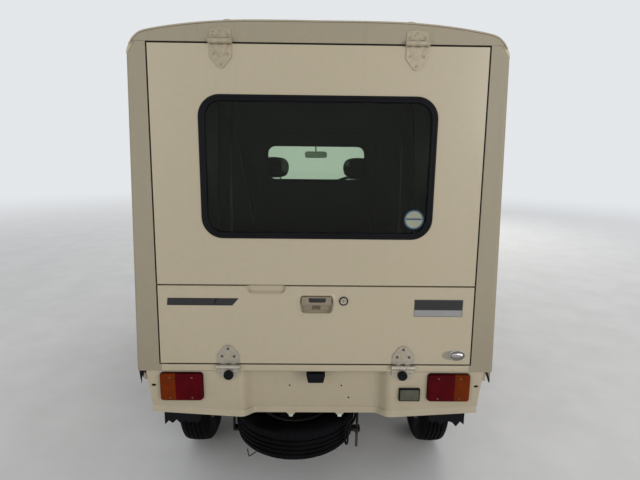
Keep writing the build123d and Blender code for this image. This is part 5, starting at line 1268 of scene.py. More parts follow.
class TRUCK_OT_spare_fittings(Operator):
    """Build the rod, nut, rubber loop and wire hook that hold the spare wheel"""

    bl_idname = "kei_truck.spare_fittings"
    bl_label = "Spare wheel fittings"

    def execute(self, context):
        y = (SPARE_LOW.y + SPARE_HIGH.y) / 2
        foot = Vector((SPARE_HIGH.x + 0.018, y, SPARE_LOW.z))
        mesh = bmesh.new()
        for step in range(ROD_TURNS):
            base = foot + Vector((0, 0, step * ROD_PITCH - 0.104))
            turned(mesh, [(0.0, 0.0052), (0.0009, 0.0064), (0.0018, 0.0052)], base, (0, 0, 1), 14)
        turned(mesh, [(-0.105, 0.0035), (-0.1045, 0.0048), (-0.030, 0.0050)], foot, (0, 0, 1), 14)
        finish_piece("spare_rod_thread", mesh, "root", "rusty_screw")
        mesh = bmesh.new()
        turned(mesh, [(-0.028, 0.0105), (-0.0265, 0.0122), (-0.0165, 0.0122), (-0.015, 0.0105)], foot, (0, 0, 1), 6)
        turned(mesh, [(-0.0145, 0.016), (-0.0125, 0.016)], foot, (0, 0, 1), 24)
        finish_piece("spare_rod_nut", mesh, "root", "chrome", 20)
        loop = [Vector((x, y - back, z)) for x, back, z in (
            (0.194, 0.012, 0.395), (0.176, 0.090, 0.396), (0.160, 0.160, 0.384), (0.142, LOOP_DEPTH, 0.368),
            (0.133, LOOP_DEPTH, 0.340), (0.131, LOOP_DEPTH, 0.286), (0.1365, LOOP_DEPTH, 0.267),
            (0.142, LOOP_DEPTH, 0.284), (0.143, LOOP_DEPTH, 0.336), (0.152, 0.176, 0.356), (0.170, 0.155, 0.368),
            (0.184, 0.085, 0.378), (0.196, 0.012, 0.380))]
        bar("spare_rubber_loop", "root", "black_rubber", smooth_path(loop), 0.0045, 10)
        hook = [rear(-0.215, 0.262, 0.112), rear(-0.240, 0.244, 0.112), rear(-0.279, 0.215, 0.112),
                rear(-0.286, 0.218, 0.112), rear(-0.290, 0.248, 0.110)]
        bar("spare_wire_hook", "root", "black_plastic", smooth_path(hook), 0.0026)
        return {"FINISHED"}


# Roof of the box

ROOF_CURVE = (
    # distance from the middle, height
    (0.0, 1.9512), (0.120, 1.9516), (0.240, 1.9506), (0.311, 1.9484), (0.384, 1.9438), (0.438, 1.9388),
    (0.492, 1.9324), (0.545, 1.9246), (0.585, 1.9172), (0.606, 1.9112), (0.621, 1.9030), (0.6365, 1.8885),
    (0.647, 1.8745), (0.6550, 1.8600), (0.6590, 1.8480), (0.6602, 1.8380),
)
ROOF_SHEET = 0.018
ROOF_BAND = 0.005
HEADER_SEAM = 1.8795
RIB_X, RIB_FOOT = 0.311, 1.9476
RIB_HALF_WIDTH, RIB_RISE = 0.0155, 0.0034


def roof_line(inward=0.0):
    """The roof's curve from the left eaves to the right ones, moved inwards by a distance."""
    half = [Vector(point) for point in ROOF_CURVE]
    points = [Vector((-x, z)) for x, z in reversed(half[1:])] + half
    moved = []
    for index, point in enumerate(points):
        before, after = points[max(index - 1, 0)], points[min(index + 1, len(points) - 1)]
        along = (after - before).normalized()
        moved.append((point.x + along.y * inward, point.y - along.x * inward))
    return [tuple(point[:2]) for point in smooth_path([(u, v, 0.0) for u, v in moved], 3)]


class TRUCK_OT_roof_sheet(Operator):
    """Lay the crowned roof sheet over the box, with its ribs, rolled rear rim, a dark line painted as the rim's shadow,
    and corner seams
    """

    bl_idname = "kei_truck.roof_sheet"
    bl_label = "Roof sheet"

    def execute(self, context):
        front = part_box("box_front_wall")[1].y - GATE_Y + 0.0006
        for name, start, end, lowest, material in (
            # The rear band and the header take the body paint darkened as painted shade
            ("roof_rear_band", -0.0004, ROOF_BAND, HEADER_SEAM, "frame_coat_darkened_for_shade"),
            ("roof_sheet", ROOF_BAND, front, 0.0, "body_paint"),
        ):
            mesh = bmesh.new()
            strips = [(0.0, start), (0.0, end), (ROOF_SHEET, end), (ROOF_SHEET, start)]
            kept = [index for index, point in enumerate(roof_line()) if point[1] > lowest]
            loft(mesh, [[rear(*roof_line(inward)[index], depth) for index in kept] for inward, depth in strips],
                 around=False, closed=True)
            finish_piece(name, mesh, "root", material, 30)
        header = [point for point in roof_line(0.0004) if point[1] > HEADER_SEAM]
        corner = header[-1][0] + 0.0004
        plate("roof_header", "root", "frame_coat_darkened_for_shade",
              [(-corner, HEADER_SEAM)] + header + [(corner, HEADER_SEAM)], -0.0008, 0.0002)
        mesh = bmesh.new()
        for x in (-RIB_X, RIB_X):
            angles = [pi * step / 10 for step in range(11)]
            outline = [(x + RIB_HALF_WIDTH * cos(angle), RIB_FOOT + RIB_RISE * sin(angle)) for angle in angles]
            loft(mesh, [[rear(*point, depth) for point in outline] for depth in (0.0, front - 0.004)])
        finish_piece("roof_ribs", mesh, "root", "body_paint")
        rim = [rear(*point, 0.0012) for point in roof_line(0.0024) if point[1] > HEADER_SEAM - 0.012]
        bar("roof_rear_rim", "root", "body_paint", rim, 0.0024)
        mesh = bmesh.new()
        # Dark line just under the rolled rim, painted as the rim's shadow
        swept(mesh, [rear(*point, -0.0006) for point in roof_line(0.0058) if point[1] > HEADER_SEAM], 0.0009, 6)
        # Seams where the header meets the corner posts
        for side in (-1, 1):
            swept(mesh, [rear(side * 0.600, HEADER_SEAM, -0.0003), rear(side * 0.640, HEADER_SEAM, -0.0003)], 0.0007, 6)
        finish_piece("roof_rim_shadow_and_seams", mesh, "root", "rusty_screw")
        return {"FINISHED"}


# Inside of the box

RIDGE_RISE = 0.006
LINING_INSET = 0.0292
LINING_FOOT = 0.700
LINING_TOP_X = 0.6607
HAUNCH_X, HAUNCH_Z = 0.592, 1.884
PARTITION_EDGE = (
    (-0.634, 0.702), (0.634, 0.702), (0.634, 1.818), (0.594, 1.880), (-0.594, 1.880), (-0.634, 1.818),
)
RIDGE_STEPS = (
    # distance inwards, rise from the board
    (-0.0070, 0.0012), (-0.0008, 0.0076), (0.0208, 0.0076), (0.0270, 0.0012),
)
HOLE_STEPS = ((-0.030, 0.002), (-0.018, 0.008), (-0.010, 0.009), (-0.004, 0.003))


class TRUCK_OT_box_lining(Operator):
    """Line the box with dark panels, whose dark colour stands in for the shade inside the box, and press the wall
    behind the cab
    """

    bl_idname = "kei_truck.box_lining"
    bl_label = "Box lining"

    def execute(self, context):
        wall_low, wall_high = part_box("box_side_walls")
        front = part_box("box_front_wall")[0].y + RIDGE_RISE
        back, end = wall_low.y + 0.004, front - 0.002
        top_z = wall_high.z - 0.02
        mesh = bmesh.new()
        for side in (-1, 1):
            low_x = side * (wall_high.x - LINING_INSET)
            top_x = side * (LINING_TOP_X - LINING_INSET)
            rings = []
            for inward in (0.0, -side * 0.005):
                rings.append([Vector((x + inward, y, z)) for x, y, z in (
                    (low_x, back, LINING_FOOT), (low_x, end, LINING_FOOT), (top_x, end, top_z), (top_x, back, top_z))])
            loft(mesh, rings)
            rings = []
            for inward, down in ((0.0, 0.0), (-side * 0.004, -0.003)):
                rings.append([Vector((x + inward, y, z + down)) for x, y, z in (
                    (top_x, back, top_z), (top_x, end, top_z), (side * HAUNCH_X, end, HAUNCH_Z),
                    (side * HAUNCH_X, back, HAUNCH_Z))])
            loft(mesh, rings)
            for share in (0.25, 0.5, 0.75):
                y = back + (front - back) * share
                path = [Vector((low_x - side * 0.006, y, LINING_FOOT + 0.005)),
                        Vector((top_x - side * 0.006, y, top_z - 0.005))]
                swept(mesh, path, 0.016, 8, flat=0.35)
        finish_piece("box_side_lining", mesh, "root", "shade_dark_lining", 20)
        self.partition(front - GATE_Y)
        return {"FINISHED"}

    def partition(self, depth):
        """Dark board behind the cab, its colour standing in for the shade inside the box, with a raised ridge and a rim
        around the window.
        """
        def on_board(u, v, rise):
            return rear(u, v, depth - rise)

        hole = rounded_box_outline((-0.352, 0.352), (1.290, 1.522), 0.05, 8)
        ridge = rounded_box_outline((-0.470, 0.470), (0.760, 1.650), 0.160, 8)
        rings = stepped(arc_outline(PARTITION_EDGE, 0.012, 5), ((0.0, 0.0012),), on_board)
        mesh = bmesh.new()
        loft(mesh, rings + stepped(ridge, RIDGE_STEPS, on_board) + stepped(hole, HOLE_STEPS, on_board), caps=False)
        finish_piece("partition_pressing", mesh, "root", "shade_dark_lining", 40)


# Cab windows

WINDSCREEN = ((-0.596, 1.100), (0.596, 1.100), (0.520, 1.668), (-0.520, 1.668))
CAB_REAR_WINDOW = ((-0.370, 1.274), (0.370, 1.274), (0.370, 1.538), (-0.370, 1.538))
DOOR_WINDOW = ((0.4545, 1.060), (1.2665, 1.060), (0.928, 1.638), (0.4545, 1.638))
WINDOW_BEADS = (
    # name, node, body, corners, corner radius, place of a point seen along the ray, ray direction
    ("windscreen_rubber", "cab_shell", "root", WINDSCREEN, 0.070, lambda u, v: (u, 3.0, v), (0, -1, 0)),
    ("cab_rear_window_rubber", "cab_shell", "root", CAB_REAR_WINDOW, 0.060, lambda u, v: (u, -3.0, v), (0, 1, 0)),
    ("cab_rear_window_lining", "cab_shell", "root", CAB_REAR_WINDOW, 0.060, lambda u, v: (u, 0.9, v), (0, -1, 0)),
    ("right_window_rubber", "right_door", "right_cab_door", DOOR_WINDOW, 0.045, lambda u, v: (3.0, u, v), (-1, 0, 0)),
    ("left_window_rubber", "left_door", "left_cab_door", DOOR_WINDOW, 0.045, lambda u, v: (-3.0, u, v), (1, 0, 0)),
    ("right_window_lining", "right_door", "right_cab_door", DOOR_WINDOW, 0.045, lambda u, v: (0.0, u, v), (1, 0, 0)),
    ("left_window_lining", "left_door", "left_cab_door", DOOR_WINDOW, 0.045, lambda u, v: (0.0, u, v), (-1, 0, 0)),
)
BEAD_RADIUS = 0.0065
DRIP_RAIL = ((0.330, 1.709), (0.360, 1.715), (0.600, 1.717), (0.900, 1.716), (0.985, 1.713), (1.045, 1.707))


class TRUCK_OT_cab_windows(Operator):
    """Lay the rubber beads around the cab's windows and the drip rails over its doors"""

    bl_idname = "kei_truck.cab_windows"
    bl_label = "Cab window rubbers"

    def execute(self, context):
        for name, node, body, corners, radius, place, direction in WINDOW_BEADS:
            outline = inset(arc_outline(corners, radius), -BEAD_RADIUS * 0.8)
            path = [ray_hit(node, place(u, v), direction) for u, v in outline]
            bar(name, body, "black_rubber", path, BEAD_RADIUS, 10, closed=True)
        mesh = bmesh.new()
        for side in (-1, 1):
            points = [ray_hit("cab_shell", (side * 3.0, y, z), (-side, 0, 0)) for y, z in DRIP_RAIL]
            swept(mesh, smooth_path(points, 4), 0.0055, 8)
        finish_piece("cab_drip_rails", mesh, "root", "body_paint")
        return {"FINISHED"}


# Headlamps and grille

HEADLAMP_X = 0.475
HEADLAMP_HALF_WIDTH = 0.095
FACE_LOW, FACE_HIGH = 0.66, 0.74
BEZEL_STEPS = (
    # distance inwards, depth
    (0.0, 0.0295), (0.0, 0.0025), (0.0012, 0.0008), (0.0040, 0.0004), (0.0085, 0.0022), (0.0110, 0.0060),
    (0.0120, 0.0295),
)
BOWL_STEPS = (
    (0.0122, 0.0080), (0.0160, 0.0150), (0.0220, 0.0200), (0.0320, 0.0240), (0.0450, 0.0262), (0.0560, 0.0268),
)
SHADE_PROFILE = ((0.0262, 0.020), (0.0240, 0.0195), (0.0170, 0.0165), (0.0130, 0.0110), (0.0115, 0.0))
GRILLE_UPRIGHTS = 43


class TRUCK_OT_headlamps(Operator):
    """Build the headlamps as a bezel, a bright bowl, a shaded bulb and a ribbed glass, and back the grille"""

    bl_idname = "kei_truck.headlamps"
    bl_label = "Headlamps and grille"

    def execute(self, context):
        low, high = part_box("headlamps")
        outline = rounded_box_outline(
            (HEADLAMP_X - HEADLAMP_HALF_WIDTH, HEADLAMP_X + HEADLAMP_HALF_WIDTH), (low.z, high.z), 0.016, 5)
        bezels, bowls, shades, glasses = bmesh.new(), bmesh.new(), bmesh.new(), bmesh.new()
        for side in (-1, 1):
            lower, upper = (
                ray_hit("headlamps", (side * HEADLAMP_X, 3.0, z), (0, -1, 0)).y for z in (FACE_LOW, FACE_HIGH))
            slope = (upper - lower) / (FACE_HIGH - FACE_LOW)

            def behind_face(u, v, w):
                return Vector((side * u, lower + slope * (v - FACE_LOW) - w, v))

            loft(bezels, stepped(outline, BEZEL_STEPS, behind_face), closed=True)
            bowls.faces.new(loft(bowls, stepped(outline, BOWL_STEPS, behind_face), caps=False)[-1])
            turned(shades, SHADE_PROFILE, behind_face(HEADLAMP_X, (low.z + high.z) / 2, 0.0), (0, -1, 0), 28)
            slab(glasses, inset(outline, 0.0105), 0.0022, 0.0056, 0.0015, behind_face)
        bezel = finish_piece("headlamp_bezels", bezels, "root", "black_plastic")
        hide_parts("headlamps")
        finish_piece("headlamp_bowls", bowls, "root", "chrome")
        finish_piece("headlamp_bulb_shades", shades, "root", "chrome")
        finish_piece("headlamp_glasses", glasses, "root", "lamp_glass")
        self.grille()
        return {"FINISHED"}

    def grille(self):
        """Dark board and fine uprights behind the bars of the grille."""
        low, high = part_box("front_grille")
        shell = ray_hit("cab_shell", (0.1, 3.0, (low.z + high.z) / 2), (0, -1, 0)).y
        left, right = low.x + 0.010, high.x - 0.010
        mesh = bmesh.new()
        outline = rounded_box_outline((left, right), (low.z + 0.008, high.z - 0.008), 0.008, 4)
        slab(mesh, outline, shell + 0.0022, shell + 0.0006, 0.0006, lambda u, v, w: Vector((u, w, v)))
        for count in range(1, GRILLE_UPRIGHTS + 1):
            x = left + (right - left) * count / (GRILLE_UPRIGHTS + 1)
            path = [Vector((x, shell + 0.009, z)) for z in (low.z + 0.006, high.z - 0.006)]
            swept(mesh, path, 0.0014, 6)
        finish_piece("grille_backing", mesh, "root", "black_rubber")


# Fittings of the wheels and doors

NUT_PROFILE = ((0.0255, 0.0104), (0.0275, 0.0098), (0.0285, 0.0092), (0.0345, 0.0092), (0.0362, 0.0078))
NUT_DOME_PROFILE = ((0.0300, 0.0062), (0.0375, 0.0060), (0.0398, 0.0045), (0.0405, 0.0))
NUTS = 4
NUT_CIRCLE = 0.05
HUB_CAP_PROFILE = (
    (0.0285, 0.0232), (0.0300, 0.0232), (0.0312, 0.0215), (0.0318, 0.0160), (0.0340, 0.0140), (0.0350, 0.0100),
    (0.0352, 0.0),
)
VALVE_LINE = ((0.026, 0.1385), (0.036, 0.1360), (0.046, 0.1325))


class TRUCK_OT_wheel_fittings(Operator):
    """Fit each wheel with its nuts, hub cap and valve"""

    bl_idname = "kei_truck.wheel_fittings"
    bl_label = "Wheel nuts and valves"

    def execute(self, context):
        for corner in CORNERS:
            low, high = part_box(f"{corner}_rim")
            centre = (low + high) / 2
            axis = Vector((1 if "right" in corner else -1, 0, 0))
            nuts, cap, valve = bmesh.new(), bmesh.new(), bmesh.new()
            for count in range(NUTS):
                angle = radians(45 + 360 / NUTS * count)
                base = centre + Vector((0, NUT_CIRCLE * cos(angle), NUT_CIRCLE * sin(angle)))
                turned(nuts, NUT_PROFILE, base, axis, 6)
                turned(nuts, NUT_DOME_PROFILE, base, axis, 16)
            turned(cap, HUB_CAP_PROFILE, centre, axis, 32)
            stem = [centre + axis * along + Vector((0, 0, radius)) for along, radius in VALVE_LINE]
            swept(valve, smooth_path(stem, 3), 0.0042, 10)
            turned(valve, ((0.0, 0.0048), (0.0075, 0.0048), (0.0085, 0.0038)), stem[-1], stem[-1] - stem[-2], 12)
            body = f"{corner}_wheel"
            finish_piece(f"{corner}_wheel_nuts", nuts, body, "zinc_steel", 25)
            finish_piece(f"{corner}_hub_cap", cap, body, "engine_metal")
            finish_piece(f"{corner}_tyre_valve", valve, body, "black_rubber")
        return {"FINISHED"}


TRIM_OUTLINE = ((0.470, 0.680), (1.200, 0.680), (1.200, 1.020), (0.470, 1.020))
ARM_REST_OUTLINE = ((0.600, 0.930), (0.900, 0.945), (0.905, 0.985), (0.600, 0.975))
WINDER_PIVOT, WINDER_GRIP = (0.985, 0.855), (0.895, 0.835)
MIRROR_INNER_X = 0.731
MIRROR_HEIGHTS = (1.110, 1.263)


class TRUCK_OT_door_fittings(Operator):
    """Trim the doors inside, and set the glass in the door mirrors"""

    bl_idname = "kei_truck.door_fittings"
    bl_label = "Door trims and mirrors"

    def execute(self, context):
        inner = abs(ray_hit("right_door", (0.0, 0.7, 0.8), (1, 0, 0)).x)
        for name, side in (("left", -1), ("right", 1)):
            body = f"{name}_cab_door"

            def inside(u, v, w):
                return Vector((side * (inner - w), u, v))

            panel, rest, winder, glass = bmesh.new(), bmesh.new(), bmesh.new(), bmesh.new()
            slab(panel, arc_outline(TRIM_OUTLINE, 0.030, 5), 0.0035, 0.0, 0.0025, inside)
            for z in (0.76, 0.94):
                swept(panel, [inside(0.500, z, 0.0030), inside(1.170, z, 0.0030)], 0.0022, 8)
            finish_piece(f"{name}_door_trim", panel, body, "interior_plastic")
            slab(rest, arc_outline(ARM_REST_OUTLINE, 0.014, 5), 0.048, 0.0, 0.010, inside)
            finish_piece(f"{name}_arm_rest", rest, body, "black_plastic")
            turned(winder, ((0.0, 0.024), (0.006, 0.023), (0.009, 0.017), (0.010, 0.0)),
                   inside(*WINDER_PIVOT, 0.003), (-side, 0, 0), 28)
            arm = [inside(*WINDER_PIVOT, 0.010), inside(0.950, 0.845, 0.017), inside(*WINDER_GRIP, 0.019)]
            swept(winder, smooth_path(arm, 4), 0.0055, 10)
            turned(winder, ((0.0, 0.008), (0.003, 0.011), (0.020, 0.012), (0.025, 0.008)),
                   inside(*WINDER_GRIP, 0.019), (-side, 0, 0), 18)
            finish_piece(f"{name}_window_winder", winder, body, "black_plastic")
            low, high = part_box(f"{name}_mirror")
            outer_x = (high.x if side > 0 else -low.x) - 0.011
            head = rounded_box_outline((MIRROR_INNER_X, outer_x), MIRROR_HEIGHTS, 0.020, 6)
            face = min(ray_hit(f"{name}_mirror", (side * 0.775, 0.0, z), (0, 1, 0)).y for z in (1.15, 1.22))
            slab(glass, head, face - 0.0015, face + 0.0006, 0.0008, lambda u, v, w: Vector((side * u, w, v)))
            finish_piece(f"{name}_mirror_glass", glass, body, "mirror_glass")
        return {"FINISHED"}


# Inside of the cab

DIAL_PROFILE = (
    (0.0, 0.0380), (0.004, 0.0380), (0.006, 0.0366), (0.006, 0.0348), (0.002, 0.0335), (0.002, 0.0),
)
DIAL_TICKS = 13
GAITER_PROFILE = (
    (0.0, 0.062), (0.006, 0.060), (0.012, 0.050), (0.022, 0.046), (0.030, 0.036), (0.042, 0.032), (0.050, 0.022),
    (0.066, 0.016), (0.074, 0.010),
)
KNOB_PROFILE = ((-0.026, 0.012), (-0.014, 0.020), (0.0, 0.0235), (0.014, 0.021), (0.023, 0.012), (0.026, 0.0))


class TRUCK_OT_cabin_fittings(Operator):
    """Build the interior mirror, gauges, levers and pedals"""

    bl_idname = "kei_truck.cabin_fittings"
    bl_label = "Cabin fittings"

    def execute(self, context):
        mesh = bmesh.new()
        glass_y = ray_hit("cab_glass", (0.0, 0.9, 1.52), (0, 1, 0)).y

        def mirror_place(u, v, w):
            return Vector((u, glass_y - 0.075 + w, v))

        outline = rounded_box_outline((-0.105, 0.105), (1.418, 1.478), 0.024, 6)
        slab(mesh, outline, 0.0, 0.016, 0.004, mirror_place)
        stalk = [(0.0, glass_y - 0.062, 1.455), (0.0, glass_y - 0.045, 1.49), (0.0, glass_y - 0.006, 1.53)]
        swept(mesh, smooth_path(stalk), 0.006, 8)
        finish_piece("cab_mirror", mesh, "root", "black_plastic")
        mesh = bmesh.new()
        slab(mesh, inset(outline, 0.005), -0.0008, 0.001, 0.0, mirror_place)
        finish_piece("cab_mirror_glass", mesh, "root", "mirror_glass")
        self.gauges()
        self.levers()
        self.pedals()
        return {"FINISHED"}

    def gauges(self):
        """Two round dials with plain ticks and needles in the hood over the steering column."""
        faces, ticks, needles = bmesh.new(), bmesh.new(), bmesh.new()
        for x, needle in ((0.275, 0.7), (0.385, -0.4)):
            centre = ray_hit("dashboard", (x, 0.0, 1.050), (0, 1, 0))
            above = ray_hit("dashboard", (x, 0.0, 1.075), (0, 1, 0))
            up = (above - centre).normalized()
            out = Vector((1, 0, 0)).cross(up)
            out = -out if out.y > 0 else out
            turned(faces, DIAL_PROFILE, centre, out, 40)
            for count in range(DIAL_TICKS):
                angle = radians(-40 + count * 260 / (DIAL_TICKS - 1))
                ray = Vector((-cos(angle), 0, 0)) + up * sin(angle)
                length = 0.007 if count % 2 else 0.010
                start = centre + out * 0.0024 + ray * 0.031
                swept(ticks, [start, start - ray * length], 0.0007, 6)
            ray = Vector((sin(needle), 0, 0)) + up * cos(needle)
            swept(needles, [centre + out * 0.0034 - ray * 0.006, centre + out * 0.0034 + ray * 0.026], 0.0011, 6)
        finish_piece("gauge_faces", faces, "root", "decal_black")
        finish_piece("gauge_ticks", ticks, "root", "decal_white")
        finish_piece("gauge_needles", needles, "root", "decal_red")

    def levers(self):
        """Gear lever with its gaiter, and the handbrake between the seats."""
        floor = ray_hit("cab_shell", (0.0, 1.10, 1.0), (0, 0, -1))
        hump = ray_hit("cab_shell", (0.0, 0.60, 1.0), (0, 0, -1))
        mesh = bmesh.new()
        turned(mesh, GAITER_PROFILE, floor, (0, 0, 1), 28)
        turned(mesh, KNOB_PROFILE, floor + Vector((0.0, -0.095, 0.385)), (0, -0.2, 1), 24)
        finish_piece("gear_lever_gaiter_and_knob", mesh, "root", "black_rubber")
        lever = [floor + Vector((0, y, z)) for y, z in ((0.0, 0.05), (-0.02, 0.18), (-0.085, 0.370))]
        bar("gear_lever", "root", "chrome", smooth_path(lever, 6), 0.0075, 12)
        mesh = bmesh.new()
        grip = [hump + Vector((0, y, z)) for y, z in ((-0.10, 0.010), (-0.02, 0.040), (0.12, 0.075))]
        swept(mesh, smooth_path(grip, 5), 0.011, 12, flat=0.7)
        sleeve = [grip[-1] - Vector((0, 0.11, 0.028)), grip[-1] + Vector((0, 0.01, 0.003))]
        swept(mesh, smooth_path(sleeve, 5), 0.0155, 14)
        block(mesh, hump + Vector((-0.026, -0.14, 0.0005)), hump + Vector((0.026, 0.02, 0.030)), 0.010, 3)
        finish_piece("handbrake", mesh, "root", "black_plastic")

    def pedals(self):
        """Three pedals hung from under the dashboard."""
        mesh, pads = bmesh.new(), bmesh.new()
        for x, wide in ((0.240, 0.028), (0.330, 0.030), (0.425, 0.021)):
            arm = [Vector((x, y, z)) for y, z in ((1.345, 0.862), (1.330, 0.760), (1.285, 0.665), (1.240, 0.630))]
            swept(mesh, smooth_path(arm, 5), 0.0070, 10, flat=0.6)
            centre = arm[-1]
            corners = ((x - wide, -0.035), (x + wide, -0.035), (x + wide, 0.035), (x - wide, 0.035))
            slab(pads, arc_outline(corners, 0.008, 4), -0.008, 0.002, 0.003,
                 lambda u, v, w: Vector((u, centre.y + w * 0.8 + v * 0.6, centre.z + v * 0.8 - w * 0.6)))
            for rib in (-0.02, 0.0, 0.02):
                start = Vector((x - wide + 0.006, centre.y - 0.0064 + rib * 0.6, centre.z + 0.0048 + rib * 0.8))
                swept(pads, [start, start + Vector((2 * wide - 0.012, 0, 0))], 0.0024, 8)
        finish_piece("pedal_arms", mesh, "root", "black_plastic")
        finish_piece("pedal_pads", pads, "root", "black_rubber")


# Underneath

STRAP_THICKNESS = 0.0012
STRAP_HALF_WIDTH = 0.014
STRAP_TOP = 0.500


class TRUCK_OT_underbody_fittings(Operator):
    """Run the brake pipes under the floor and strap the tank"""

    bl_idname = "kei_truck.underbody_fittings"
    bl_label = "Brake pipes and tank straps"

    def execute(self, context):
        frame_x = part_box("chassis_frame")[0].x
        mesh = bmesh.new()
        for z, bend in ((0.455, 0.0), (0.470, 0.004)):
            route = [(frame_x - 0.0045 - bend, y, z + lift) for y, lift in (
                (0.700, 0.0), (0.300, 0.0), (0.0, 0.006), (-0.300, 0.0), (-0.700, 0.0), (-0.860, 0.012))]
            swept(mesh, smooth_path(route, 6), 0.0030, 8)
        for y in (0.55, 0.20, -0.15, -0.50):
            block(mesh, (frame_x - 0.0105, y - 0.008, 0.448), (frame_x + 0.0005, y + 0.008, 0.478), 0.002)
        finish_piece("brake_pipes", mesh, "root", "exhaust_steel")
        low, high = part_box("fuel_tank")
        strap = rounded_box_outline(
            (low.x - STRAP_THICKNESS, high.x + STRAP_THICKNESS), (low.z - STRAP_THICKNESS, STRAP_TOP), 0.030, 6)
        outer = inset(strap, -STRAP_THICKNESS)
        mesh = bmesh.new()
        for share in (0.25, 0.75):
            y = low.y + (high.y - low.y) * share
            loft(mesh, [[Vector((u, y + along, v)) for u, v in outline] for outline, along in (
                (strap, -STRAP_HALF_WIDTH), (outer, -STRAP_HALF_WIDTH), (outer, STRAP_HALF_WIDTH),
                (strap, STRAP_HALF_WIDTH))], closed=True)
        finish_piece("fuel_tank_straps", mesh, "root", "rusty_screw")
        return {"FINISHED"}


# Seats

SEAT_X = 0.33
CLOTH_STEPS = 15


def pad(name, size, crown, place, cap, roundness):
    """Padded form: a rounded box blown up a little by cloth simulation, then smoothed."""
    width, depth, height = size
    mesh = bmesh.new()
    block(mesh, (-width / 2, -depth / 2, -height / 2), (width / 2, depth / 2, height / 2), min(size) * 0.32, 5)
    long_edges = [edge for edge in mesh.edges if edge.calc_length() > 0.06]
    bmesh.ops.subdivide_edges(mesh, edges=long_edges, cuts=6, use_grid_fill=True)
    for vert in mesh.verts:
        across, along = 2 * vert.co.x / width, 2 * vert.co.y / depth
        swell = crown * (1 - across ** 2) * (1 - along ** 2)
        vert.co.z += swell if vert.co.z > 0 else -swell * 0.2
        vert.co.x *= sqrt(max(0.0, 1 - roundness * along ** 2 / 2))
        vert.co.y *= sqrt(max(0.0, 1 - roundness * across ** 2 / 2))
    piece = object_from(name, mesh)
    inflate(piece, cap)
    piece.data.transform(place)
    return piece


def inflate(piece, cap):
    """Swell a closed form with cloth pressure, each point moving no further than the cap."""
    remesh = piece.modifiers.new("even", "REMESH")
    remesh.mode = "VOXEL"
    remesh.voxel_size = 0.009
    bake(piece)
    start = [vert.co.copy() for vert in piece.data.vertices]
    cloth = piece.modifiers.new("cloth", "CLOTH")
    cloth.settings.use_pressure = True
    cloth.settings.uniform_pressure_force = 4.0
    cloth.settings.effector_weights.gravity = 0.0
    cloth.settings.quality = 4
    cloth.collision_settings.use_collision = False
    for step in range(1, CLOTH_STEPS + 1):
        bpy.context.scene.frame_set(step)
    bake(piece)
    bpy.context.scene.frame_set(1)
    for vert, before in zip(piece.data.vertices, start):
        move = vert.co - before
        if move.length > cap:
            vert.co = before + move.normalized() * cap


def bake(piece):
    """Turn a piece's modifiers into its mesh."""
    graph = bpy.context.evaluated_depsgraph_get()
    data = bpy.data.meshes.new_from_object(piece.evaluated_get(graph))
    piece.modifiers.clear()
    piece.data = data


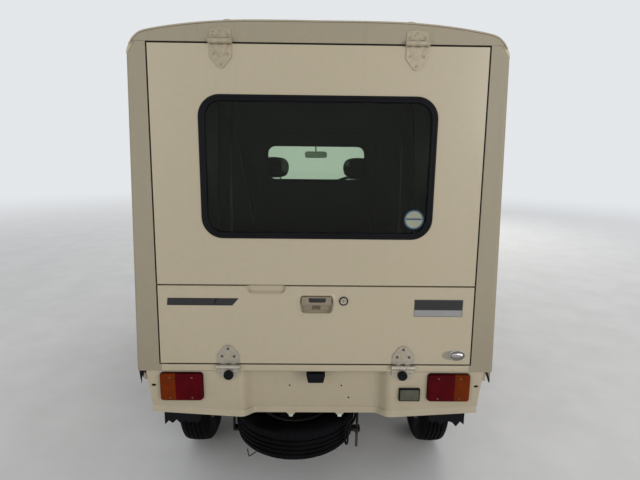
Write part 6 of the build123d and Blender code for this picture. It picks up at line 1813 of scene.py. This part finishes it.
class TRUCK_OT_seats(Operator):
    """Build the two padded seats with their head restraints"""

    bl_idname = "kei_truck.seats"
    bl_label = "Seats"

    def execute(self, context):
        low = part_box("seats")[0]
        lean = radians(5.5)
        pads = [pad(f"right_seat_{name}", *shape) for name, *shape in (
            # name, size, crown, place, cap of the swelling, roundness
            ("cushion", (0.415, 0.475, 0.105), 0.012, Matrix.Translation((SEAT_X, low.y + 0.325, 0.775)), 0.012, 0.1),
            ("back", (0.405, 0.500, 0.085), 0.014,
             Matrix.Translation((SEAT_X, low.y + 0.088, 0.995)) @ Matrix.Rotation(radians(90) + lean, 4, "X")
             @ Matrix.Rotation(pi, 4, "Y"), 0.012, 0.15),
            ("headrest", (0.235, 0.160, 0.072), 0.006,
             Matrix.Translation((SEAT_X, low.y + 0.052, 1.3625)) @ Matrix.Rotation(radians(90), 4, "X"), 0.008, 0.7),
        )]
        solids = []
        for piece in pads:
            data = piece.data.copy()
            twin = bpy.data.objects.new(piece.name.replace("right", "left"), data)
            data.transform(Matrix.Scale(-1, 4, (1, 0, 0)))
            data.flip_normals()
            bpy.context.scene.collection.objects.link(twin)
            solids += [piece, twin]
        for piece in solids:
            piece.data.shade_smooth()
            piece.data.materials.clear()
            piece.data.materials.append(FINISHES["seat_cloth"])
            smooth = piece.modifiers.new("smooth", "SUBSURF")
            smooth.levels = smooth.render_levels = 1
            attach(piece, "root")
        mesh = bmesh.new()
        for x in (-SEAT_X, SEAT_X):
            block(mesh, (x - 0.205, low.y + 0.075, 0.7152), (x + 0.205, low.y + 0.565, 0.735), 0.006)
            for post in (x - 0.05, x + 0.05):
                swept(mesh, [Vector((post, low.y + 0.052, 1.235)), Vector((post, low.y + 0.052, 1.30))], 0.006, 10)
        base = finish_piece("seat_bases", mesh, "root", "interior_plastic")
        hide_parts("seats")
        return {"FINISHED"}


# Panel, registration and running order

GROUPS = (
    PaintSettings,
    SizeSettings,
)
OPERATORS = (
    TRUCK_OT_stage,
    TRUCK_OT_frame,
    TRUCK_OT_window_seal,
    TRUCK_OT_weatherstrips,
    TRUCK_OT_hinge_screws,
    TRUCK_OT_handle,
    TRUCK_OT_rear_lamps,
    TRUCK_OT_markings,
    TRUCK_OT_flaps,
    TRUCK_OT_spare_fittings,
    TRUCK_OT_tyres,
    TRUCK_OT_roof_sheet,
    TRUCK_OT_box_lining,
    TRUCK_OT_cab_windows,
    TRUCK_OT_headlamps,
    TRUCK_OT_wheel_fittings,
    TRUCK_OT_door_fittings,
    TRUCK_OT_cabin_fittings,
    TRUCK_OT_underbody_fittings,
    TRUCK_OT_seats,
)


class TRUCK_PT_pieces(Panel):
    """List the steps that dress the truck"""

    bl_idname = "TRUCK_PT_pieces"
    bl_label = "Kei Truck"
    bl_space_type = "VIEW_3D"
    bl_region_type = "UI"
    bl_category = "Kei Truck"

    def draw(self, context):
        for group in (context.scene.truck_paint, context.scene.truck_sizes):
            for key in group.__annotations__:
                self.layout.prop(group, key)
        for operator in OPERATORS:
            self.layout.operator(operator.bl_idname)


def register():
    for item in (*GROUPS, *OPERATORS, TRUCK_PT_pieces):
        bpy.utils.register_class(item)
    bpy.types.Scene.truck_paint = PointerProperty(type=PaintSettings)
    bpy.types.Scene.truck_sizes = PointerProperty(type=SizeSettings)


def unregister():
    del bpy.types.Scene.truck_sizes
    del bpy.types.Scene.truck_paint
    for item in (TRUCK_PT_pieces, *reversed(OPERATORS), *reversed(GROUPS)):
        bpy.utils.unregister_class(item)


def main():
    register()
    build_finishes(bpy.context.scene.truck_paint)
    for operator in OPERATORS:
        group, action = operator.bl_idname.split(".")
        getattr(getattr(bpy.ops, group), action)()


if __name__ == "__main__":
    main()
